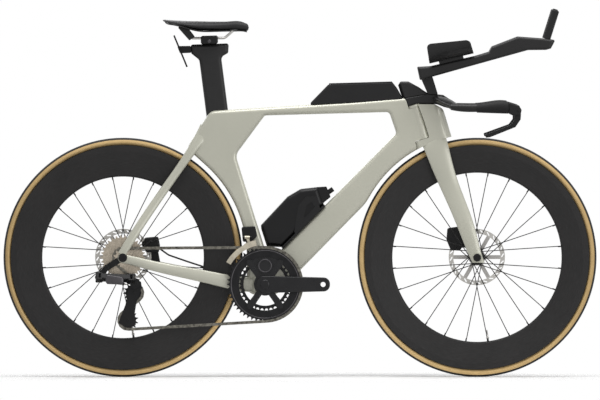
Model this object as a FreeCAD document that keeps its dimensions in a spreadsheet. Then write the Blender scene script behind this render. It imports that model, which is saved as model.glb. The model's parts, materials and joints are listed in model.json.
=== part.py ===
import FreeCAD, Part
import cmath
import math
import os
import re
from types import SimpleNamespace

# Time trial bike. X runs forward, Y to the rider's left, Z up, with the origin on the ground midway between
# the wheels. Points in the side plane are complex numbers, X + iZ, and outlines seen in the photograph are
# kept as pixel coordinates that are fitted between two real points of the bike.

drivingSizes = {
    # wheels
    "wheelbase": 1006.6, "tyre_radius": 340, "tyre_wall": 2.4, "bead_radius": 311.6,
    "rim_radius": 319, "rim_width": 30, "rim_channel": 24.6, "rim_well_radius": 309.4, "rim_wall": 2.2,
    "rim_belly": 17, "nose_radius": 7.5, "front_rim_depth": 78.5, "rear_rim_depth": 89.5,
    "spoke_radius": 1.25, "spoke_hole": 1.3, "spoke_stagger": 1.45,
    # hubs and axles
    "axle_radius": 6, "axle_hole": 3, "hub_axle_radius": 8, "bearing_gap": 0.05, "hub_shell": 13,
    "flange_radius": 21, "flange_width": 7, "spline_radius": 17, "end_cap_gap": 0.4,
    "front_drop_gap": 100, "front_flange_right": 36, "front_flange_left": 20, "front_rotor_place": 36,
    "rear_drop_gap": 142, "rear_flange_right": 14, "rear_flange_left": 38, "rear_rotor_place": 54,
    # brakes
    "rotor_radius": 80, "rotor_track": 13, "rotor_thick": 1.8, "rotor_slot": 3.2, "rotor_hub": 24,
    "rotor_arm": 11, "caliper_width": 27, "caliper_edge": 5, "caliper_slot": 4.6, "pad_thick": 1.1,
    "pad_size": 22, "caliper_corner": 6, "foot_width": 14, "hose_radius": 2.4, "hose_bend": 30,
    # frame
    "chainstay_length": 411, "bracket_drop": 76, "head_angle": 73, "fork_offset": 45,
    "head_bottom": 367, "head_length": 92, "head_radius": 23, "head_ahead": 6,
    "tube_width": 44, "tube_edge": 11, "front_arch_gap": 10.8, "rear_arch_gap": 12,
    "bracket_shell_radius": 30, "bracket_shell_width": 79, "bracket_bore": 21,
    "dropout_radius": 14, "dropout_thick": 9, "stay_depth": 24, "seatstay_width": 13,
    "chainstay_width": 15, "chainstay_root_depth": 42, "chainstay_tip_depth": 25,
    "stay_root_place": 12, "stay_tyre_place": 26.5, "stay_middle_place": 44, "stay_low_place": 61,
    "dropout_place": 75, "chainstay_root_place": 22, "chainstay_tyre_place": 28, "chainstay_front_place": 37.5,
    "chainstay_middle_place": 47.5, "chainstay_rear_place": 62,
    "seat_corner": 25, "roof_corner": 900, "head_corner": 16, "belly_corner": 120, "shell_corner": 24,
    "hole_corner": 12, "seat_hole_corner": 30, "steer_gap": 1.5, "overrun": 60,
    # headset and fork
    "steerer_radius": 14.3, "headset_radius": 20, "headset_height": 8, "headset_lip": 1.5,
    "crown_radius": 33.5, "nose_gap": 1.5, "nose_width": 54, "nose_edge": 24, "wing_edge": 15,
    "wing_top_edge": 12, "crown_gap": 1, "cover_height": 7.5, "cover_gap": 0.5, "blade_width": 16,
    "blade_tip_width": 10, "fork_drop_radius": 13.5, "fork_drop_thick": 10, "seam_corner": 4,
    "nose_corner": 22, "nose_front_corner": 30, "blade_root_place": 17, "blade_crown_place": 25.5,
    "blade_upper_place": 28, "blade_middle_place": 36, "blade_lower_place": 47, "blade_tip_place": 54.5,
    # stem and base bar
    "stem_width": 42, "stem_edge": 6, "stem_radius": 26.5, "stem_corner": 3, "steerer_top": 488,
    "bar_reach": 192, "wing_thick": 22, "wing_chord": 50, "pursuit_radius": 11, "lever_body_width": 26,
    "lever_body_edge": 5, "lever_body_corner": 8, "fairing_width": 40, "fairing_edge": 7,
    "fairing_corner": 8, "lever_thick": 11, "lever_edge": 2, "lever_corner": 5, "lever_gap": 0.5,
    "lever_pin": 2, "lever_hub": 7,
    # forearm rests and extensions
    "riser_width": 44, "riser_corner": 2, "extension_width": 34, "extension_edge": 8,
    "extension_corner": 12, "extension_place": 57, "grip_tube_radius": 11.2, "grip_length": 86,
    "grip_lean": 17.5, "grip_round": 4, "button_radius": 6.5, "button_height": 10, "button_gap": 0.3,
    "button_room": 2.5,
    "cup_radius": 46, "cup_wall": 3, "cup_length": 140, "cup_rise": 102, "cup_inner_rise": 48,
    "cup_corner": 12, "cup_outset": 11, "cup_foot": 8, "cup_foot_width": 20, "cup_foot_length": 70,
    "pad_depth": 9, "pad_length": 109, "pad_rise": 83.3, "pad_inset": 7, "pad_round": 3.5, "soft_gap": 0.3,
    # seat
    "seat_lean": 7.3, "post_depth": 63, "post_width": 28, "post_edge": 11, "post_insert": 96,
    "post_exposed": 156, "post_room": 50, "post_gap": 0.35, "post_corner": 12, "post_head_corner": 7,
    "post_neck_corner": 14, "clamp_width": 62, "clamp_edge": 4, "clamp_corner": 6,
    "saddle_length": 244, "saddle_shell_thick": 4, "rail_radius": 3.5, "rail_place": 22, "rail_bend": 14,
    "rail_gap": 0.05, "strut_width": 12, "strut_edge": 2.5, "strut_corner": 3, "bracket_width": 24,
    "bracket_corner": 3, "plate_width": 40, "plate_thick": 4.5, "plate_length": 97, "plate_hole": 2.6,
    "plate_hole_gap": 40, "bolt_head_height": 3,
    # top tube box and bottle
    "box_width": 38, "box_edge": 6, "box_wall": 2.2, "box_corner": 6, "lid_thick": 3, "lid_gap": 0.4,
    "lid_edge": 1.2, "bottle_width": 50, "bottle_edge": 14, "bottle_corner": 14, "bottle_gap": 0.4,
    "cage_wall": 2, "cage_base": 5.2, "cage_corner": 5, "nozzle_radius": 7, "nozzle_gap": 0.3,
    # chainset
    "crank_length": 165, "spindle_radius": 12, "spindle_bore": 9, "spindle_half": 71, "arm_inner": 57,
    "arm_thick": 13, "arm_edge": 3.5, "arm_root_radius": 25, "arm_tip_radius": 19.5, "pedal_hole": 7.14,
    "panel_thick": 3, "panel_reach": 78,
    "ring_place": 48, "small_ring_place": 41, "ring_thick": 1.7, "bolt_circle": 55, "ring_band": 31,
    "small_ring_band": 12, "tab_radius": 9.5, "spider_reach": 84, "spider_tip": 18,
    "spider_boss": 32, "pod_radius": 22, "pod_rise": 53, "pod_proud": 3, "ring_bolt_radius": 4,
    "ring_bolt_head": 6, "spindle_gap": 0.05, "cup_flange": 23, "cup_flange_width": 6,
    # chain and cassette
    "pitch": 12.7, "roller_radius": 3.85, "pin_radius": 1.8, "pin_gap": 0.15, "link_half_height": 4.1,
    "plate_skin": 0.6, "inner_plate_place": 1.05, "outer_plate_place": 1.75, "tooth_height": 3.3,
    "tooth_tip": 1.6, "seat_play": 0.12, "cog_thick": 1.5, "cog_step": 3.6, "first_cog_place": 65.5,
    "freehub_radius": 17.2, "freehub_start": 22, "cog_bore_gap": 0.05, "spacer_radius": 20,
    "lockring_radius": 19.5, "lockring_height": 2.5, "cog_hole": 3,
    # rear derailleur
    "hanger_thick": 5, "hanger_radius": 10, "hanger_tip": 8.5, "base_width": 14, "base_radius": 9,
    "neck_radius": 7.2, "links_slant": 32, "link_bar_half": 7, "link_bar_radius": 4.5, "link_pin": 2.5,
    "link_gap": 0.4, "link_spread": 13, "link_set_back": 11, "ear_thick": 3.2, "knuckle_radius": 15,
    "knuckle_low": 67, "knuckle_high": 79, "cage_length": 79, "cage_plate": 2, "cage_inside": 4.6,
    "cage_edge": 7, "pulley_bolt": 2.5, "pulley_thick": 1.6, "pulley_boss": 5.5, "pulley_gap": 0.3,
    "cage_pivot": 4, "link_base_place": 87, "link_end_place": 80,
    # front derailleur
    "guide_inner": 112.5, "guide_outer": 127, "guide_plate": 1.6, "guide_inside": 5.2,
    "guide_bridge": 7, "shifter_low": 19, "shifter_high": 40, "shifter_edge": 3, "shifter_corner": 5,
    "guide_pin": 2.5, "guide_arm": 5,
}

# whole counts
spokeCount = 24
ringTeeth = 52
smallRingTeeth = 36
cogTeeth = (11, 12, 13, 14, 15, 16, 17, 19, 21, 24, 27, 30)
chainedCog = 2
pulleyTeeth = 13
rotorSlots = 24
rotorArms = 6
chainLinks = 114
straightLinks = 3
seatFlankDegrees = 62
spokeLeanDegrees = 66
wingTiltDegrees = -12
swingRoomShare = 3

# places in the photograph, in pixels
rearAxlePixel = (122.5, 257.4)
frontAxlePixel = (476.5, 257.4)
bracketPixel = (264.6, 284.1)
headPixel = (418.9, 123.2)
driveAxlePixel = (120.9, 260.7)
driveRingPixel = (264.3, 286.5)

doc = FreeCAD.newDocument("time_trial_bike")
sheet = doc.addObject("Spreadsheet::Sheet", "sizes")
for row, (alias, value) in enumerate(drivingSizes.items(), 1):
    sheet.set("A%d" % row, alias)
    sheet.set("B%d" % row, str(value))
    sheet.setAlias("B%d" % row, alias)
doc.recompute()
s = SimpleNamespace(**{alias: float(sheet.get(alias)) for alias in drivingSizes})
nodes = []
upward = FreeCAD.Vector(0, 0, 1)
leftward = FreeCAD.Vector(0, 1, 0)
forward = FreeCAD.Vector(1, 0, 0)
sides = ((-1, "right"), (1, "left"))


# Helpers for points

def spot(point, side=0):
    return FreeCAD.Vector(point.real, side, point.imag)


def flat(point):
    return FreeCAD.Vector(point.real, point.imag, 0)


def polar(degrees):
    return cmath.exp(1j * math.radians(degrees))


def unit(point):
    return point / abs(point)


def pixelPoint(pixel):
    return complex(pixel[0], -pixel[1])


# the turn, stretch and shift that take two pixels to two real points
def photoMap(firstPixel, secondPixel, first, second):
    stretch = (second - first) / (pixelPoint(secondPixel) - pixelPoint(firstPixel))
    return lambda pixel: first + (pixelPoint(pixel) - pixelPoint(firstPixel)) * stretch


def lineCross(start, along, otherStart, otherAlong):
    gap = otherStart - start
    amount = (gap * otherAlong.conjugate()).imag / (along * otherAlong.conjugate()).imag
    return start + along * amount


# Helpers for solids

def bind(piece, prop, text):
    piece.setExpression(prop, re.sub(r"[a-z][a-z_]+", lambda word: "sizes." + word.group(), text))


def keep(piece, label):
    piece.Label = label
    nodes.append(piece)
    return piece


def solid(name, shape):
    piece = doc.addObject("Part::Feature", name)
    piece.Shape = shape
    return piece


def rod(name, radius, start, end):
    piece = doc.addObject("Part::Cylinder", name)
    bind(piece, "Radius", radius)
    piece.Height = (end - start).Length
    piece.Placement = FreeCAD.Placement(start, FreeCAD.Rotation(upward, end - start))
    return piece


def crossRod(name, radius, centre, low, high):
    return rod(name, radius, spot(centre, low), spot(centre, high))


def chained(kind, name, pieces):
    whole = pieces[0]
    for number, piece in enumerate(pieces[1:], 1):
        step = doc.addObject(kind, name if number == len(pieces) - 1 else "%s_step%d" % (name, number))
        step.Base = whole
        step.Tool = piece
        whole = step
    return whole


def joined(name, pieces):
    return chained("Part::Fuse", name, pieces)


def trimmed(name, base, cutters):
    return chained("Part::Cut", name, [base] + cutters)


def grouped(name, pieces):
    piece = doc.addObject("Part::Compound", name)
    piece.Links = pieces
    return piece


def tube(name, outer, inner, centre, low, high):
    core = crossRod(name + "_bore", inner, centre, low - s.overrun, high + s.overrun)
    return trimmed(name, crossRod(name + "_rod", outer, centre, low, high), [core])


# a closed outline of lines joined by tangent arcs, from corners with their radii
def rounded(corners):
    entries = []
    for place, (corner, radius) in enumerate(corners):
        before = unit(corners[place - 1][0] - corner)
        after = unit(corners[(place + 1) % len(corners)][0] - corner)
        halfTurn = abs(cmath.phase(-after / before)) / 2
        reach = radius * math.tan(halfTurn)
        middle = corner
        if reach:
            middle = corner + unit(before + after) * radius * (1 / math.cos(halfTurn) - 1)
        entries.append((corner + before * reach, middle, corner + after * reach))
    curves = []
    tiny = s.bearing_gap / 10
    for (entry, middle, leave), (following, _, _) in zip(entries, entries[1:] + entries[:1]):
        if abs(leave - entry) > tiny:
            curves.append(Part.Arc(flat(entry), flat(middle), flat(leave)))
        if abs(following - leave) > tiny:
            curves.append(Part.LineSegment(flat(leave), flat(following)))
    return curves


def polyline(points):
    return rounded([(complex(*point), 0) for point in points])


# an outline from pixels, all corners of one radius
def pixelLoop(place, pixels, radius):
    return rounded([(place(pixel), radius) for pixel in pixels])


def sketchOn(body, name, planeRole, curves):
    sketch = body.newObject("Sketcher::SketchObject", name)
    plane = [feature for feature in body.Origin.OriginFeatures if feature.Role == planeRole][0]
    sketch.AttachmentSupport = [(plane, "")]
    sketch.MapMode = "FlatFace"
    sketch.addGeometry(curves, False)
    return sketch


# a plate in the side plane, padded both ways from its middle, with its two rims rounded
def plate(name, loops, width, edge="", middle="", chosen=None):
    body = doc.addObject("PartDesign::Body", name)
    curves = [curve for loop in loops for curve in loop]
    pad = body.newObject("PartDesign::Pad", name + "_pad")
    pad.Profile = sketchOn(body, name + "_outline", "XZ_Plane", curves)
    pad.SideType = "Symmetric"
    bind(pad, "Length", width)
    doc.recompute()
    if edge:
        rims = []
        for place, border in enumerate(pad.Shape.Edges, 1):
            level = border.BoundBox.YLength < s.bearing_gap
            if level and (chosen is None or chosen(border.CenterOfMass)):
                rims.append("Edge%d" % place)
        fillet = body.newObject("PartDesign::Fillet", name + "_edge")
        fillet.Base = (pad, rims)
        bind(fillet, "Radius", edge)
    if middle:
        bind(body, ".Placement.Base.y", middle)
    return body


# a piece turned about an axle that runs across the bike, from points of place and radius
def turned(name, outline, centre):
    body = doc.addObject("PartDesign::Body", name)
    sketch = sketchOn(body, name + "_outline", "XY_Plane", outline)
    spin = body.newObject("PartDesign::Revolution", name + "_spin")
    spin.Profile = sketch
    spin.ReferenceAxis = (sketch, ["H_Axis"])
    body.Placement = FreeCAD.Placement(spot(centre), FreeCAD.Rotation(upward, 90))
    return body


# an oval across a limb: its middle and its two half-axes
def oval(middle, first, second):
    longer, shorter = (first, second) if first.Length >= second.Length else (second, first)
    return Part.Wire(Part.Ellipse(middle + longer, middle + shorter, middle).toShape())


def loft(name, wires):
    return solid(name, Part.makeLoft(wires, True))


# a plate with round ends between two points, square to a direction, from one height to another
def slab(start, end, radius, square, low, high):
    along = (end - start).normalize()
    aside = square.cross(along).normalize() * radius
    lift = square * low
    points = [start + aside, start - along * radius, start - aside, end - aside, end + along * radius, end + aside]
    points = [point + lift for point in points]
    edges = [Part.Arc(*points[:3]).toShape(), Part.LineSegment(points[2], points[3]).toShape(),
             Part.Arc(*points[3:]).toShape(), Part.LineSegment(points[5], points[0]).toShape()]
    return Part.Face(Part.Wire(edges)).extrude(square * (high - low))


# straight runs joined by tangent arcs in space
def bentPath(points, radius):
    edges = []
    start = points[0]
    for before, corner, after in zip(points, points[1:], points[2:]):
        inward = (before - corner).normalize()
        outward = (after - corner).normalize()
        halfTurn = (math.pi - inward.getAngle(outward)) / 2
        reach = radius * math.tan(halfTurn)
        entry = corner + inward * reach
        leave = corner + outward * reach
        middle = corner + (inward + outward).normalize() * (radius / math.cos(halfTurn) - radius)
        edges += [Part.LineSegment(start, entry).toShape(), Part.Arc(entry, middle, leave).toShape()]
        start = leave
    edges.append(Part.LineSegment(start, points[-1]).toShape())
    return Part.Wire(edges)


def bentRod(name, points, radius, bend):
    ring = Part.Wire(Part.Circle(points[0], points[1] - points[0], radius).toShape())
    return solid(name, bentPath(points, bend).makePipeShell([ring], True, False))


# Main points of the bike

rearAxle = complex(-s.wheelbase / 2, s.tyre_radius)
frontAxle = complex(s.wheelbase / 2, s.tyre_radius)
bracket = rearAxle + complex(math.sqrt(s.chainstay_length ** 2 - s.bracket_drop ** 2), -s.bracket_drop)
steerUp = -polar(-s.head_angle)
steerAhead = -1j * steerUp
steerTurn = FreeCAD.Rotation(leftward, s.head_angle - 90)
headTop = s.head_bottom + s.head_length
coverTop = headTop + s.cover_gap + s.cover_height
rearCaps = s.rear_drop_gap / 2
frontCaps = s.front_drop_gap / 2
cogPlace = s.first_cog_place - chainedCog * s.cog_step


# a point in the side plane, ahead of and up along the steering axis
def steer(ahead, along):
    return frontAxle + steerAhead * (ahead - s.fork_offset) + steerUp * along


headMiddle = steer(0, s.head_bottom + s.head_length / 2)
frameSpot = photoMap(bracketPixel, headPixel, bracket, headMiddle)
forkSpot = photoMap(frontAxlePixel, headPixel, frontAxle, headMiddle)
staySpot = photoMap(rearAxlePixel, bracketPixel, rearAxle, bracket)
driveSpot = photoMap(driveAxlePixel, driveRingPixel, rearAxle, bracket)


def steerRod(name, radius, low, high):
    return rod(name, radius, spot(steer(0, low)), spot(steer(0, high)))


# everything behind the steering axis and further from it than a radius
def behindSteering(name, radius):
    block = doc.addObject("Part::Box", name + "_block")
    for extent in ("Length", "Width", "Height"):
        bind(block, extent, "tyre_radius * 2")
    block.Placement = FreeCAD.Placement(spot(steer(-2 * s.tyre_radius, 0), -s.tyre_radius), steerTurn)
    return trimmed(name, block, [steerRod(name + "_keep", radius, -s.tyre_radius, 3 * s.tyre_radius)])


# Wheels

def makeTyre(name, centre):
    half = s.rim_channel / 2 - s.bearing_gap * 2
    seat = s.rim_radius + s.end_cap_gap
    middle = (s.tyre_radius ** 2 - seat ** 2 - half ** 2) / (2 * (s.tyre_radius - seat))
    crown = s.tyre_radius - s.tyre_wall
    inner = half - s.tyre_wall
    innerSeat = middle - math.sqrt((crown - middle) ** 2 - inner ** 2)
    corners = [complex(half, s.bead_radius), complex(half, seat), complex(-half, seat),
               complex(-half, s.bead_radius), complex(-inner, s.bead_radius), complex(-inner, innerSeat),
               complex(inner, innerSeat), complex(inner, s.bead_radius)]
    bows = {1: s.tyre_radius, 5: crown}
    outline = []
    for number, corner in enumerate(corners):
        following = corners[(number + 1) % len(corners)]
        if number in bows:
            outline.append(Part.Arc(flat(corner), flat(1j * bows[number]), flat(following)))
        else:
            outline.append(Part.LineSegment(flat(corner), flat(following)))
    return keep(turned(name, outline, centre), name)


# a rim's section: its outside, or with a wall its hollow
def rimOutline(depth, wall):
    half = s.rim_width / 2 - wall
    tip = s.nose_radius - wall
    nose = s.rim_radius - depth + wall
    belly = s.rim_radius - s.rim_belly
    right = [complex(half, belly), complex(tip, nose + tip)]
    if wall:
        right.insert(0, complex(half, s.rim_well_radius - wall))
    else:
        channel = s.rim_channel / 2
        right[:0] = [complex(channel, s.rim_well_radius), complex(channel, s.rim_radius), complex(half, s.rim_radius)]
    left = [complex(-point.real, point.imag) for point in reversed(right)]
    curves = [Part.LineSegment(flat(a), flat(b)) for a, b in zip(right, right[1:])]
    curves.append(Part.Arc(flat(right[-1]), flat(complex(0, nose)), flat(left[0])))
    curves += [Part.LineSegment(flat(a), flat(b)) for a, b in zip(left, left[1:])]
    curves.append(Part.LineSegment(flat(left[-1]), flat(right[0])))
    return curves


def spokeEnds(centre, depth, rightFlange, leftFlange):
    reach = s.rim_radius - depth + s.rim_wall * 3
    ends = []
    for place in range(spokeCount):
        angle = (place + 0.5) * 360 / spokeCount + 90
        side = 1 if place % 2 else -1
        lean = 1 if place // 2 % 2 else -1
        flange = (leftFlange if side > 0 else rightFlange) + s.flange_width / 2
        root = centre + polar(angle + lean * spokeLeanDegrees) * (s.flange_radius - s.flange_width / 2)
        ends.append((spot(root, side * (flange + lean * s.spoke_stagger)), spot(centre + polar(angle) * reach)))
    return ends


def makeRim(name, centre, depth, ends):
    shell = turned(name + "_shell", rimOutline(depth, 0) + rimOutline(depth, s.rim_wall), centre)
    holes = [Part.makeCylinder(s.spoke_hole, s.overrun, end - (end - start).normalize() * s.overrun / 2, end - start)
             for start, end in ends]
    return keep(trimmed(name, shell, [solid(name + "_holes", Part.makeCompound(holes))]), name)


# straight spokes, each leaving its flange at a tangent and ending inside the rim's nose
def makeSpokes(name, ends):
    spokes = [Part.makeCylinder(s.spoke_radius, (end - start).Length, start, end - start) for start, end in ends]
    return keep(solid(name, Part.makeCompound(spokes)), name)


# a hub shell with two flanges and the rotor's spline, running on the hub axle
def makeHub(name, centre, low, high, rightFlange, leftFlange, rotorPlace, ends):
    bore = s.hub_axle_radius + s.bearing_gap
    rotorFace = rotorPlace + s.rotor_thick / 2
    outline = [
        (low, bore), (low, s.hub_shell), (-rightFlange - s.flange_width, s.hub_shell),
        (-rightFlange - s.flange_width, s.flange_radius), (-rightFlange, s.flange_radius),
        (-rightFlange, s.hub_shell), (leftFlange, s.hub_shell), (leftFlange, s.flange_radius),
        (leftFlange + s.flange_width, s.flange_radius), (leftFlange + s.flange_width, s.spline_radius),
        (rotorFace, s.spline_radius), (rotorFace, s.hub_shell), (high, s.hub_shell), (high, bore),
    ]
    shell = turned(name + "_shell", polyline(outline), centre)
    holes = [Part.makeCylinder(s.spoke_hole, s.overrun, start, end - start) for start, end in ends]
    return keep(trimmed(name, shell, [solid(name + "_holes", Part.makeCompound(holes))]), name)


def makeRotor(name, centre, place):
    body = doc.addObject("PartDesign::Body", name)
    track = s.rotor_radius - s.rotor_track
    disc = [Part.Circle(flat(0j), upward, s.rotor_radius)]
    disc.append(Part.Circle(flat(0j), upward, s.spline_radius + s.bearing_gap))
    pad = body.newObject("PartDesign::Pad", name + "_disc")
    pad.Profile = sketchOn(body, name + "_face", "XZ_Plane", disc)
    pad.SideType = "Symmetric"
    bind(pad, "Length", "rotor_thick")
    doc.recompute()
    window = []
    for radius, side in ((track, -1), (track, 1), (s.rotor_hub, 1), (s.rotor_hub, -1)):
        turn = side * (math.pi / rotorArms - math.asin(s.rotor_arm / 2 / radius))
        window.append(radius * cmath.exp(1j * (turn + math.pi / 2)))
    windowCurves = [
        Part.Arc(flat(window[0]), flat(1j * track), flat(window[1])),
        Part.LineSegment(flat(window[1]), flat(window[2])),
        Part.Arc(flat(window[2]), flat(1j * s.rotor_hub), flat(window[3])),
        Part.LineSegment(flat(window[3]), flat(window[0])),
    ]
    low = 1j * (track + s.rotor_slot)
    high = 1j * (s.rotor_radius - s.rotor_slot) * polar(180 / rotorSlots)
    across = 1j * unit(high - low) * s.rotor_slot / 2
    slot = rounded([(point, s.rotor_slot / 3) for point in (low + across, low - across, high - across, high + across)])
    for label, curves, count in (("window", windowCurves, rotorArms), ("slot", slot, rotorSlots)):
        pocket = body.newObject("PartDesign::Pocket", name + "_" + label)
        pocket.Profile = sketchOn(body, name + "_" + label + "_outline", "XZ_Plane", curves)
        pocket.SideType = "Symmetric"
        bind(pocket, "Length", "rotor_thick * 2")
        doc.recompute()
        pattern = body.newObject("PartDesign::PolarPattern", name + "_" + label + "s")
        pattern.Originals = [pocket]
        pattern.Axis = (pocket.Profile[0], ["N_Axis"])
        pattern.Angle = 360
        pattern.Occurrences = count
        body.Tip = pattern
        doc.recompute()
    body.Placement = FreeCAD.Placement(spot(centre, place), FreeCAD.Rotation())
    return keep(body, name)


# a thru axle in its hollow hub axle, whose end caps bear on the dropouts
def makeAxle(name, centre, caps, right, left):
    bolt = tube(name + "_bolt", "axle_radius", "axle_hole", centre, -right, left)
    sleeve = tube(name + "_sleeve", "hub_axle_radius", "axle_radius + bearing_gap", centre, -caps, caps)
    return keep(grouped(name, [bolt, sleeve]), name)


def makeWheels():
    frontEnds = spokeEnds(frontAxle, s.front_rim_depth, s.front_flange_right, s.front_flange_left)
    rearEnds = spokeEnds(rearAxle, s.rear_rim_depth, s.rear_flange_right, s.rear_flange_left)
    makeTyre("front_tyre", frontAxle)
    makeRim("front_rim", frontAxle, s.front_rim_depth, frontEnds)
    makeSpokes("front_spokes", frontEnds)
    makeHub("front_hub", frontAxle, s.end_cap_gap - frontCaps, frontCaps - s.end_cap_gap, s.front_flange_right,
            s.front_flange_left, s.front_rotor_place, frontEnds)
    makeRotor("front_rotor", frontAxle, s.front_rotor_place)
    makeTyre("rear_tyre", rearAxle)
    makeRim("rear_rim", rearAxle, s.rear_rim_depth, rearEnds)
    makeSpokes("rear_spokes", rearEnds)
    makeHub("rear_hub", rearAxle, s.end_cap_gap - s.freehub_start, rearCaps - s.end_cap_gap, s.rear_flange_right,
            s.rear_flange_left, s.rear_rotor_place, rearEnds)
    makeRotor("rear_rotor", rearAxle, s.rear_rotor_place)
    makeAxle("front_axle", frontAxle, frontCaps, frontCaps + s.fork_drop_thick, frontCaps + s.fork_drop_thick)
    makeAxle("rear_axle", rearAxle, rearCaps, rearCaps + s.dropout_thick, rearCaps + s.dropout_thick)


# Frame

seatCornerPixel = (210, 110.9)
roofPixel = (355, 102)
headRoofPixel = (413.5, 97)
bellyPixels = ((345, 222.9), (298, 268.3))
stayTipPixel = (184, 152)
shellFloorPixels = ((276, 294.6), (245.5, 294.6))
frontArchDegrees = (120, 150)
rearArchDegrees = (0, 48)
holePixels = (((268.5, 262), "hole_corner"), ((235.2, 155), "seat_hole_corner"), ((264.4, 115.6), "hole_corner"),
              ((388.6, 112.2), "hole_corner"), ((395.9, 133.6), "hole_corner"))
seatstayPixels = (((206, 128), "stay_root_place"), ((184, 161), "stay_tyre_place"),
                  ((155, 202.5), "stay_middle_place"), ((138.2, 227.5), "stay_low_place"),
                  ((121.5, 254), "dropout_place"))
chainstayPixels = (((252, 284.5), "chainstay_root_place"), ((228, 281.6), "chainstay_tyre_place"),
                   ((204, 276.3), "chainstay_front_place"), ((180, 271.5), "chainstay_middle_place"),
                   ((153, 265.6), "chainstay_rear_place"), ((122, 258.4), "dropout_place"))
seatstayDepthShares = (1.7, 1, 1, 1, 1)
seatstayWidthShares = (0.6, 1, 1, 1, 0.7)


# the tangent corner that draws an arc about a centre between two directions
def archCorner(centre, radius, first, last):
    half = math.radians(abs(last - first)) / 2
    return (centre + polar((first + last) / 2) * radius / math.cos(half), radius)


def frameOutline():
    frontArch = s.tyre_radius + s.front_arch_gap
    rearArch = s.tyre_radius + s.rear_arch_gap
    frontStart = frontAxle + polar(frontArchDegrees[0]) * frontArch
    frontEnd = frontAxle + polar(frontArchDegrees[1]) * frontArch
    rearEnd = rearAxle + polar(rearArchDegrees[1]) * rearArch
    headLine = steer(s.head_ahead, 0)
    chin = lineCross(headLine, steerUp, frontStart, 1j * polar(frontArchDegrees[0]))
    headRoof = lineCross(headLine, steerUp, frameSpot(headRoofPixel), 1 + 0j)
    bellyEnd = frameSpot(bellyPixels[1])
    belly = lineCross(frontEnd, 1j * polar(frontArchDegrees[1]), bellyEnd, frameSpot(bellyPixels[0]) - bellyEnd)
    floor = [frameSpot(pixel) for pixel in shellFloorPixels]
    seatCorner = frameSpot(seatCornerPixel)
    tip = lineCross(rearEnd, 1j * polar(rearArchDegrees[1]), seatCorner, frameSpot(stayTipPixel) - seatCorner)
    return rounded([
        (seatCorner, s.seat_corner), (frameSpot(roofPixel), s.roof_corner), (headRoof, s.head_corner),
        (chin, s.head_corner), archCorner(frontAxle, frontArch, *frontArchDegrees), (belly, s.belly_corner),
        (floor[0], s.shell_corner), (complex(rearAxle.real + rearArch, floor[1].imag), s.shell_corner),
        archCorner(rearAxle, rearArch, *rearArchDegrees), (tip, s.head_corner),
    ])


# a stay lofted through ovals from the frame, round the wheel, to the dropout
def makeStay(name, side, pixels, depths, widths):
    places = [staySpot(pixel) for pixel, _ in pixels]
    wires = []
    for number, (_, across) in enumerate(pixels):
        run = places[min(number + 1, len(places) - 1)] - places[max(number - 1, 0)]
        middle = spot(places[number], side * getattr(s, across))
        wires.append(oval(middle, spot(1j * unit(run) * depths[number] / 2), leftward * (widths[number] / 2)))
    return loft(name, wires)


def makeStays(side, hand):
    depths = [s.stay_depth * share for share in seatstayDepthShares]
    widths = [s.seatstay_width * share for share in seatstayWidthShares]
    seatstay = makeStay(hand + "_seatstay", side, seatstayPixels, depths, widths)
    last = len(chainstayPixels) - 1
    step = (s.chainstay_tip_depth - s.chainstay_root_depth) / last
    depths = [s.chainstay_root_depth + step * number for number in range(last + 1)]
    widths = [s.chainstay_width] * last + [s.dropout_thick]
    chainstay = makeStay(hand + "_chainstay", side, chainstayPixels, depths, widths)
    ends = sorted((side * rearCaps, side * (rearCaps + s.dropout_thick)))
    return [seatstay, chainstay, crossRod(hand + "_dropout", "dropout_radius", rearAxle, *ends)]


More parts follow.
